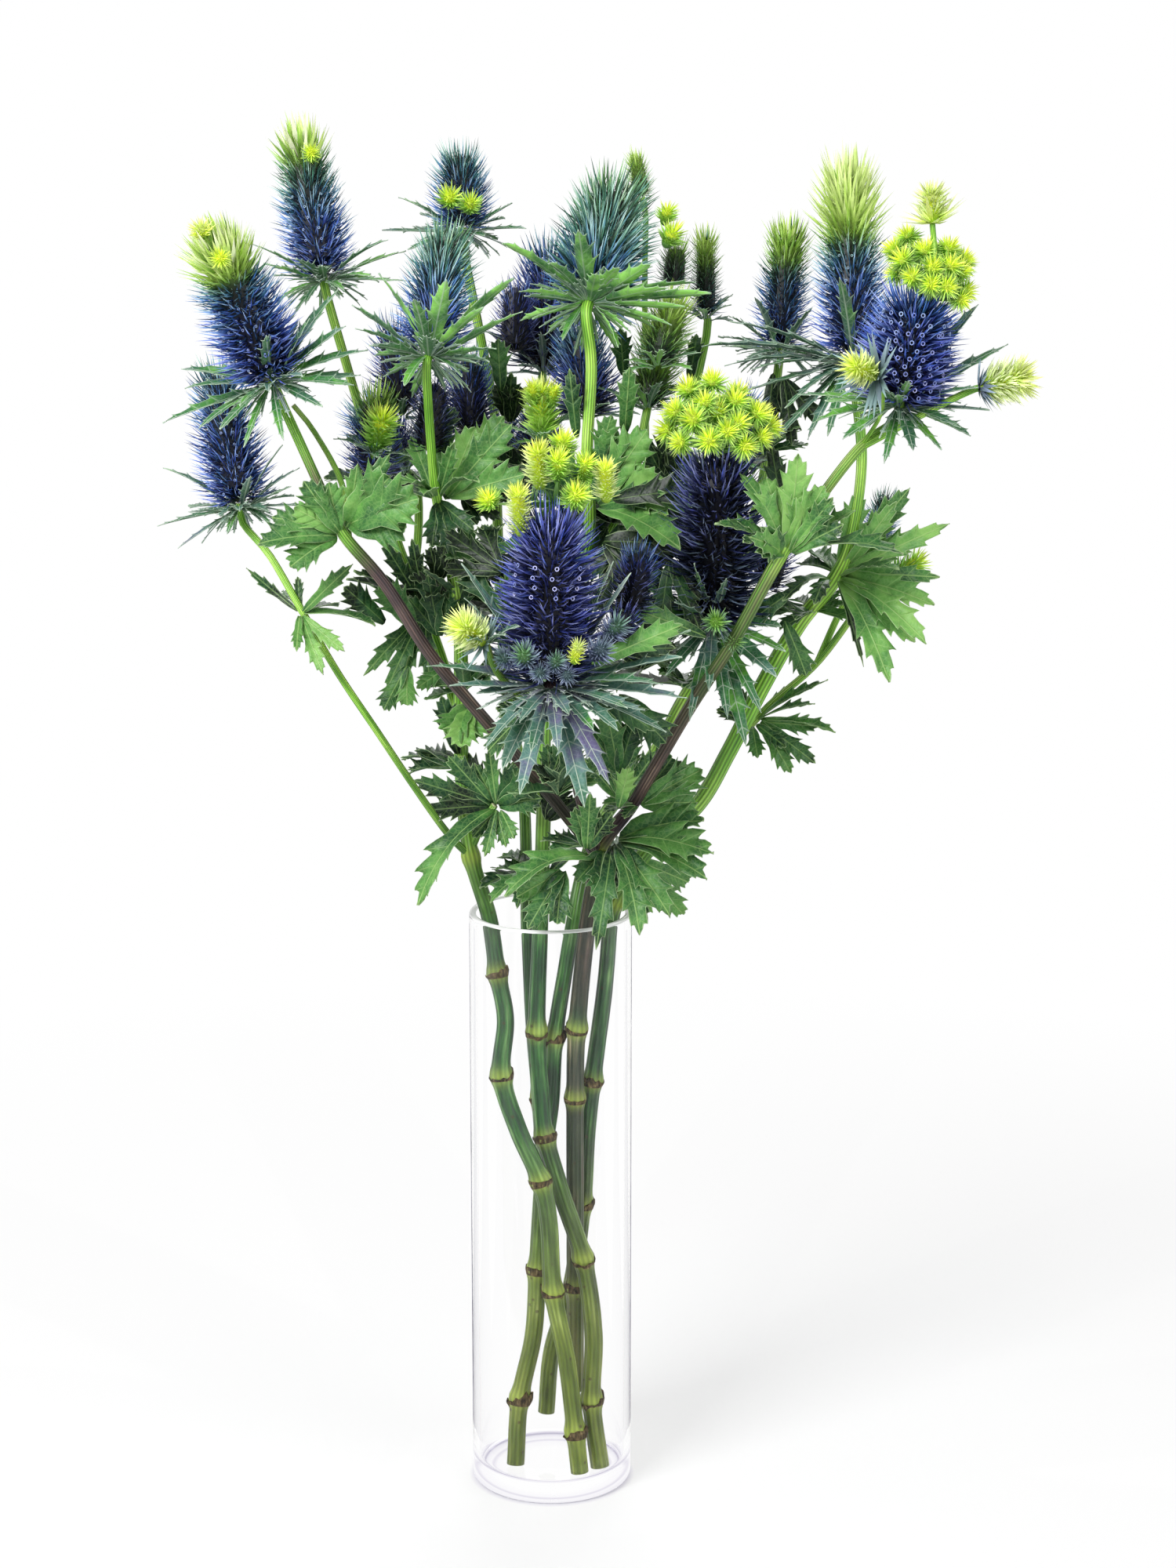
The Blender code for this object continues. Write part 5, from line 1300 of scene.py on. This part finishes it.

# Each leaf: foot, tip of its middle lobe and width in mm, the way its face looks, number of lobes, tone
# and arch. A high tone paints a leaf dark, as painted shade inside the bunch.
UP, FRONT = (0, -0.3, 1), (0, -1, 0.3)
whorls = {
    "leaves_low_left": [
        ((-117, -26, 448), (-92, -35, 474), 8, FRONT, 1, 0.35, 0.05),
        ((-116, -27, 448), (-81, -30, 442), 9, UP, 1, 0.35, 0.08),
        ((-117, -28, 447), (-100, -45, 424), 10, FRONT, 2, 0.3, 0.05),
        ((-118, -27, 447), (-118, -45, 433), 6, FRONT, 1, 0.35, 0.05),
        ((-119, -25, 449), (-143, -15, 468), 5, FRONT, 1, 0.7, -0.1),
        ((-118, -24, 449), (-120, -18, 464), 5, FRONT, 1, 0.7, 0.0),
        ((-117, -23, 448), (-128, 12, 452), 8, UP, 1, 0.5, 0.05),
        ((-116, -23, 448), (-103, 8, 446), 8, UP, 1, 0.5, 0.05),
    ],
    "leaves_front_left": [
        ((-97, -47, 490), (-114, -52, 515), 18, FRONT, 3, 0.25, 0.05),
        ((-98, -47, 488), (-132, -62, 485), 20, (0, -1, 0.8), 3, 0.5, 0.08),
        ((-92, -48, 494), (-86, -56, 522), 10, FRONT, 1, 0.3, 0.03),
        ((-92, -48, 494), (-60, -62, 509), 32, FRONT, 3, 0.22, 0.1),
        ((-94, -47, 492), (-72, -50, 525), 12, FRONT, 1, 0.35, 0.05),
        ((-95, -42, 490), (-110, -15, 492), 14, UP, 3, 0.4, 0.06),
        ((-93, -42, 490), (-72, -18, 488), 14, UP, 3, 0.4, 0.06),
    ],
    "leaves_inner_left": [
        ((-55, 6, 499), (-65, 15, 530), 10, FRONT, 1, 0.3, 0.04),
        ((-54, 8, 500), (-50, 24, 535), 10, FRONT, 1, 0.3, 0.04),
        ((-49, 8, 499), (-16, 5, 533), 22, FRONT, 3, 0.15, 0.04),
        ((-52, 4, 499), (-33, -16, 509), 9, UP, 1, 0.5, 0.15),
        ((-55, 4, 499), (-71, -20, 509), 13, UP, 3, 0.4, 0.12),
        ((-53, 6, 499), (-46, -4, 527), 9, FRONT, 1, 0.4, 0.02),
        ((-53, 3, 497), (-44, -18, 474), 14, FRONT, 3, 0.85, 0.1),
        ((-54, 9, 498), (-66, 36, 506), 14, UP, 3, 0.5, 0.06),
        ((-50, 9, 498), (-34, 36, 504), 14, UP, 3, 0.5, 0.06),
        ((-62, 41, 437), (-86, 14, 404), 12, FRONT, 2, 0.5, 0.15),
        ((-62, 41, 437), (-70, 14, 398), 12, FRONT, 2, 0.5, 0.18),
        ((-62, 42, 438), (-99, 16, 458), 13, UP, 3, 0.75, 0.05),
        ((-62, 43, 438), (-86, 40, 474), 12, FRONT, 3, 0.6, 0.03),
        ((-60, 46, 438), (-50, 72, 440), 14, UP, 3, 0.5, 0.06),
    ],
    "leaves_centre": [
        ((23, 13, 495), (50, 0, 532), 27, (-0.3, -1, 0.3), 3, 0.3, 0.02),
        ((24, 12, 494), (57, -20, 507), 14, FRONT, 1, 0.5, 0.05),
        ((24, 11, 493), (71, -37, 487), 28, (0, -0.8, 0.8), 2, 0.05, 0.08),
        ((15, 16, 498), (-8, 2, 520), 14, FRONT, 3, 0.5, 0.06),
        ((20, 22, 500), (24, 50, 512), 16, UP, 3, 0.5, 0.06),
        ((15, 20, 500), (-12, 40, 506), 16, UP, 3, 0.5, 0.06),
    ],
    "leaves_front_right": [
        ((109, -41, 481), (86, -43, 517), 13, (0.5, -1, 0.2), 1, 0.45, 0.15),
        ((108, -43, 480), (75, -62, 496), 13, UP, 3, 0.5, 0.08),
        ((112, -38, 482), (108, -14, 528), 11, FRONT, 1, 0.7, 0.0),
        ((112, -42, 481), (116, -47, 525), 20, FRONT, 3, 0.3, 0.03),
        ((113, -42, 480), (131, -50, 509), 15, FRONT, 3, 0.35, 0.03),
        ((114, -41, 479), (163, -55, 481), 14, UP, 1, 0.4, 0.10),
        ((114, -40, 479), (143, -32, 499), 10, UP, 1, 0.35, 0.03),
        ((108, -44, 480), (92, -70, 492), 16, FRONT, 3, 0.4, 0.10),
        ((112, -36, 479), (124, -8, 484), 14, UP, 3, 0.5, 0.06),
    ],
    "leaves_right": [
        ((140, 12, 462), (173, 20, 502), 17, FRONT, 3, 0.22, 0.02),
        ((141, 12, 461), (191, 5, 489), 14, FRONT, 3, 0.2, 0.08),
        ((141, 9, 459), (183, -20, 438), 18, (0.2, -1, 0.5), 2, 0.15, 0.12),
        ((140, 8, 458), (169, -25, 416), 20, (0.2, -1, 0.3), 2, 0.03, 0.12),
        ((135, 9, 459), (116, -16, 450), 12, UP, 2, 0.8, 0.15),
        ((139, 8, 458), (152, -10, 421), 4, FRONT, 1, 0.95, 0.1),
        ((141, 8, 460), (166, -25, 469), 11, UP, 1, 0.35, 0.08),
        ((138, 16, 461), (128, 44, 466), 14, UP, 3, 0.5, 0.06),
        ((141, 16, 461), (160, 42, 464), 14, UP, 3, 0.5, 0.06),
    ],
    "leaves_fork": [
        ((33, -25, 338), (79, -46, 342), 26, (0, -0.8, 1), 2, 0.3, 0.10),
        ((33, -26, 337), (77, -56, 326), 18, (0, -0.8, 1), 1, 0.3, 0.10),
        ((43, -23, 355), (72, -12, 370), 24, FRONT, 3, 0.6, 0.04),
        ((32, -28, 336), (50, -62, 299), 19, (0.2, -1, 0.3), 2, 0.54, 0.14),
        ((30, -27, 335), (32, -61, 294), 15, FRONT, 2, 0.58, 0.16),
        ((22, -22, 328), (-21, -51, 317), 18, (0, -0.3, 1), 1, 0.3, 0.16),
        ((6, -33, 324), (-10, -49, 301), 18, FRONT, 3, 0.5, 0.12),
        ((18, -36, 336), (21, -46, 365), 14, FRONT, 3, 0.45, 0.05),
        ((40, 0, 322), (66, 10, 292), 16, FRONT, 3, 0.2, 0.10),
        ((16, -18, 333), (-5, -16, 335), 12, UP, 3, 0.8, 0.05),
        ((42, -24, 355), (26, -36, 354), 9, UP, 3, 0.5, 0.05),
        ((40, -18, 353), (35, -6, 370), 13, FRONT, 1, 0.25, 0.05),
        ((34, 8, 350), (24, 22, 381), 14, FRONT, 3, 0.6, 0.03),
        ((35, 8, 350), (42, 20, 382), 14, FRONT, 3, 0.6, 0.03),
        ((26, -16, 330), (21, -40, 312), 16, FRONT, 3, 0.75, 0.10),
        ((28, -2, 318), (38, 36, 322), 18, UP, 3, 0.5, 0.08),
    ],
    "leaves_dark": [
        ((-27, -5, 349), (-64, -31, 307), 17, (-0.3, -0.5, 1), 1, 0.15, 0.14),
        ((-28, -4, 350), (-67, -6, 364), 15, FRONT, 3, 0.75, 0.05),
        ((-27, -3, 350), (-44, 15, 370), 12, FRONT, 1, 0.8, 0.03),
        ((-26, -4, 350), (-28, 0, 378), 10, FRONT, 3, 0.6, 0.03),
        ((-25, -5, 350), (-4, -16, 368), 20, FRONT, 3, 0.7, 0.04),
        ((-26, -6, 348), (-30, -16, 327), 9, FRONT, 3, 0.3, 0.05),
        ((-24, -6, 348), (-17, -18, 337), 8, FRONT, 1, 0.3, 0.05),
        ((-40, 6, 396), (-44, -12, 380), 22, FRONT, 3, 0.1, 0.10),
        ((-46, 14, 365), (-74, 28, 366), 18, UP, 3, 0.7, 0.08),
    ],
    "leaves_rim": [
        ((-8, 0, 312), (-30, -26, 306), 14, UP, 3, 0.7, 0.15),
        ((-6, 6, 313), (-24, 30, 316), 16, UP, 3, 0.6, 0.08),
        ((0, 4, 314), (14, 24, 320), 12, UP, 1, 0.5, 0.08),
    ],
    "leaves_back_right": [
        ((103, 43, 383), (137, 46, 401), 9, UP, 3, 0.5, 0.05),
        ((104, 42, 383), (140, 35, 378), 9, UP, 1, 0.5, 0.05),
        ((104, 40, 382), (134, 34, 363), 13, FRONT, 3, 0.55, 0.08),
        ((102, 39, 381), (116, 29, 370), 8, FRONT, 1, 0.6, 0.05),
        ((100, 40, 380), (101, 26, 366), 9, FRONT, 1, 0.6, 0.05),
        ((98, 42, 381), (84, 45, 398), 9, FRONT, 3, 0.7, 0.05),
        ((101, 46, 382), (96, 66, 390), 10, UP, 1, 0.6, 0.05),
    ],
}
# For each number of lobes, the angle in degrees that each stands at and its share of the full length.
lobes = {1: [(0, 1.0)], 2: [(-10, 1.0), (18, 0.84)], 3: [(0, 1.0), (-27, 0.82), (27, 0.8)]}


def draw_leaf(build, foot, tip, width, face, cuts, tone, arch, columns=4):
    """One leaf: its lobes fan out from the foot, the side ones a little lower than the middle one."""
    foot, tip, face = Vector(foot), Vector(tip), Vector(face).normalized()
    lobe_width = width * (1.5 if cuts == 1 else 1.18)
    for index, (turn, share) in enumerate(lobes[cuts]):
        turn += dice.uniform(-4, 4)
        swung = Matrix.Rotation(math.radians(turn), 3, face) @ (tip - foot) * share
        swung = swung * dice.uniform(0.94, 1.04)
        drop = -face * (0.8 * index)
        draw_blade(build, foot + drop * 0.4, foot + swung + drop, lobe_width, face, form=saw, teeth=3,
                   start=0.36, depth=0.4, widest=0.56, arch=arch, fold=dice.uniform(0.15, 0.45), ruffle=0.05,
                   tone=tone + dice.uniform(-0.08, 0.25), columns=columns, stalk=0.34, taper=1.1)


for name, leaves in whorls.items():
    build = leaf_mesh()
    for leaf in leaves:
        draw_leaf(build, *leaf)
    add_leaves(name.replace("leaves", "whorl"), build, [leaf_top, leaf_back], "leaf", name)

# The whorls on the stems inside the bunch, mostly hidden: node, number of leaves, length in mm and tone.
# Their high tones paint them dark, as painted shade.
build = leaf_mesh()
for spot, count, size, tone in (
        ((-3, 14, 392), 6, 32, 0.75), ((14, 28, 462), 7, 38, 0.8), ((-24, 58, 432), 7, 40, 0.85),
        ((66, 30, 402), 6, 34, 0.7), ((-46, 24, 444), 6, 34, 0.8), ((92, 64, 452), 7, 36, 0.8),
        ((-26, 80, 505), 7, 36, 0.75), ((14, 60, 478), 7, 34, 0.85), ((52, 114, 458), 6, 36, 0.8),
        ((4, -50, 366), 5, 30, 0.7), ((-42, 18, 402), 5, 30, 0.6), ((30, 44, 482), 7, 34, 0.8),
        ((60, 10, 470), 6, 34, 0.85), ((0, -8, 448), 7, 34, 0.9), ((44, 0, 416), 6, 34, 0.85),
        ((-30, -4, 470), 6, 32, 0.85), ((-84, 50, 500), 6, 30, 0.7), ((106, 72, 512), 6, 30, 0.7),
        ((-2, 10, 342), 5, 26, 0.7), ((128, 14, 442), 5, 26, 0.7)):
    spot = Vector(spot)
    phase = dice.uniform(0, 6)
    for index in range(count):
        turn = phase + 2 * math.pi * (index + dice.uniform(-0.25, 0.25)) / count
        out = Vector((math.cos(turn), math.sin(turn), dice.uniform(-0.3, 0.9)))
        out = out.normalized() * size * dice.uniform(0.75, 1.1)
        draw_leaf(build, spot, spot + out, size * 0.42, (0, -0.4, 1), 3 if index % 2 else 1,
                  tone + dice.uniform(-0.15, 0.1), 0.06, 2)
# Single leaves that fill the gaps between them: foot, tip and width in mm, number of lobes and tone.
# Most take high tones, which paint them dark as painted shade.
for foot, tip, width, cuts, tone in (
        ((-42, 20, 509), (-19, 15, 537), 16, 1, 0.35), ((-58, 20, 519), (-46, 20, 542), 12, 1, 0.5),
        ((-38, 0, 464), (-41, 0, 488), 10, 1, 0.6), ((-24, 40, 546), (-27, 40, 572), 12, 1, 0.8),
        ((13, 15, 526), (8, 10, 560), 9, 1, 0.6), ((36, 20, 527), (39, 10, 561), 11, 1, 0.55),
        ((23, 15, 514), (31, 10, 538), 12, 1, 0.4), ((26, -10, 480), (56, -20, 463), 16, 3, 0.95),
        ((26, -10, 480), (60, -15, 477), 16, 1, 1.0), ((30, -10, 473), (48, -20, 454), 14, 1, 0.9),
        ((74, -38, 439), (36, -42, 452), 11, 1, 0.5), ((33, -40, 412), (55, -45, 390), 18, 1, 0.75),
        ((33, -35, 373), (27, -40, 408), 18, 3, 0.75), ((-80, 10, 437), (-99, 5, 457), 14, 1, 0.7),
        ((-65, 10, 435), (-82, 5, 458), 17, 1, 0.4), ((-54, 20, 429), (-61, 15, 459), 15, 3, 0.85),
        ((-50, 20, 429), (-42, 15, 457), 14, 1, 0.8), ((-49, 20, 414), (-64, 10, 404), 9, 1, 0.7),
        ((33, -45, 358), (37, -50, 379), 11, 1, 0.2), ((115, 70, 550), (121, 60, 516), 13, 3, 0.9),
        ((110, 70, 552), (106, 62, 524), 11, 1, 0.9), ((0, -20, 364), (8, -24, 388), 12, 3, 0.7),
        ((-45, 10, 372), (-52, 6, 404), 12, 1, 0.8), ((57, 40, 500), (56, 38, 530), 16, 3, 0.9),
        ((30, -12, 500), (64, -16, 505), 16, 1, 0.95), ((-20, 30, 500), (-10, 20, 524), 16, 3, 0.85),
        ((20, -102, 438), (65, -95, 453), 13, 1, 0.25), ((14, -60, 420), (48, -62, 398), 13, 1, 0.7),
        ((20, -60, 436), (58, -58, 436), 12, 1, 0.75), ((-8, -60, 410), (-30, -50, 384), 12, 1, 0.6),
        ((-20, -40, 450), (-44, -30, 470), 12, 1, 0.8), ((-22, -40, 470), (-50, -20, 486), 13, 3, 0.9),
        ((30, -20, 450), (62, -24, 436), 13, 3, 0.95), ((34, -10, 460), (58, -14, 474), 12, 3, 0.95),
        ((-20, 50, 530), (-19, 40, 556), 13, 3, 0.85), ((-54, 10, 458), (-49, 5, 480), 12, 3, 0.9),
        ((36, 60, 551), (33, 50, 575), 11, 1, 0.6), ((37, -10, 478), (22, -15, 448), 14, 3, 0.95),
        ((44, -5, 482), (33, -10, 452), 13, 3, 1.0), ((116, 0, 454), (96, -5, 442), 12, 1, 0.75),
        ((113, 0, 440), (124, -5, 412), 12, 1, 0.6), ((-43, 30, 497), (-25, 20, 486), 12, 3, 0.85),
        ((-69, 0, 418), (-75, -5, 395), 14, 2, 0.35), ((-23, 10, 479), (-40, 0, 458), 13, 3, 0.95),
        ((-4, 10, 513), (-25, 5, 496), 12, 3, 0.9), ((57, -20, 472), (69, -30, 440), 13, 3, 0.95),
        ((-1, -10, 344), (9, -15, 365), 14, 3, 0.8), ((69, 80, 547), (71, 80, 571), 9, 1, 0.7),
        ((-54, 30, 518), (-61, 20, 542), 12, 3, 0.9), ((66, 26, 484), (60, 16, 526), 15, 3, 0.95),
        ((70, 24, 486), (68, 14, 522), 14, 1, 0.95), ((92, 24, 490), (88, 14, 518), 12, 1, 0.9)):
    draw_leaf(build, foot, tip, width, (0, -1, 0.4), cuts, tone, 0.06, 2)
add_leaves("whorl_inner", build, [leaf_top, leaf_back], "leaf")

low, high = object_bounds()
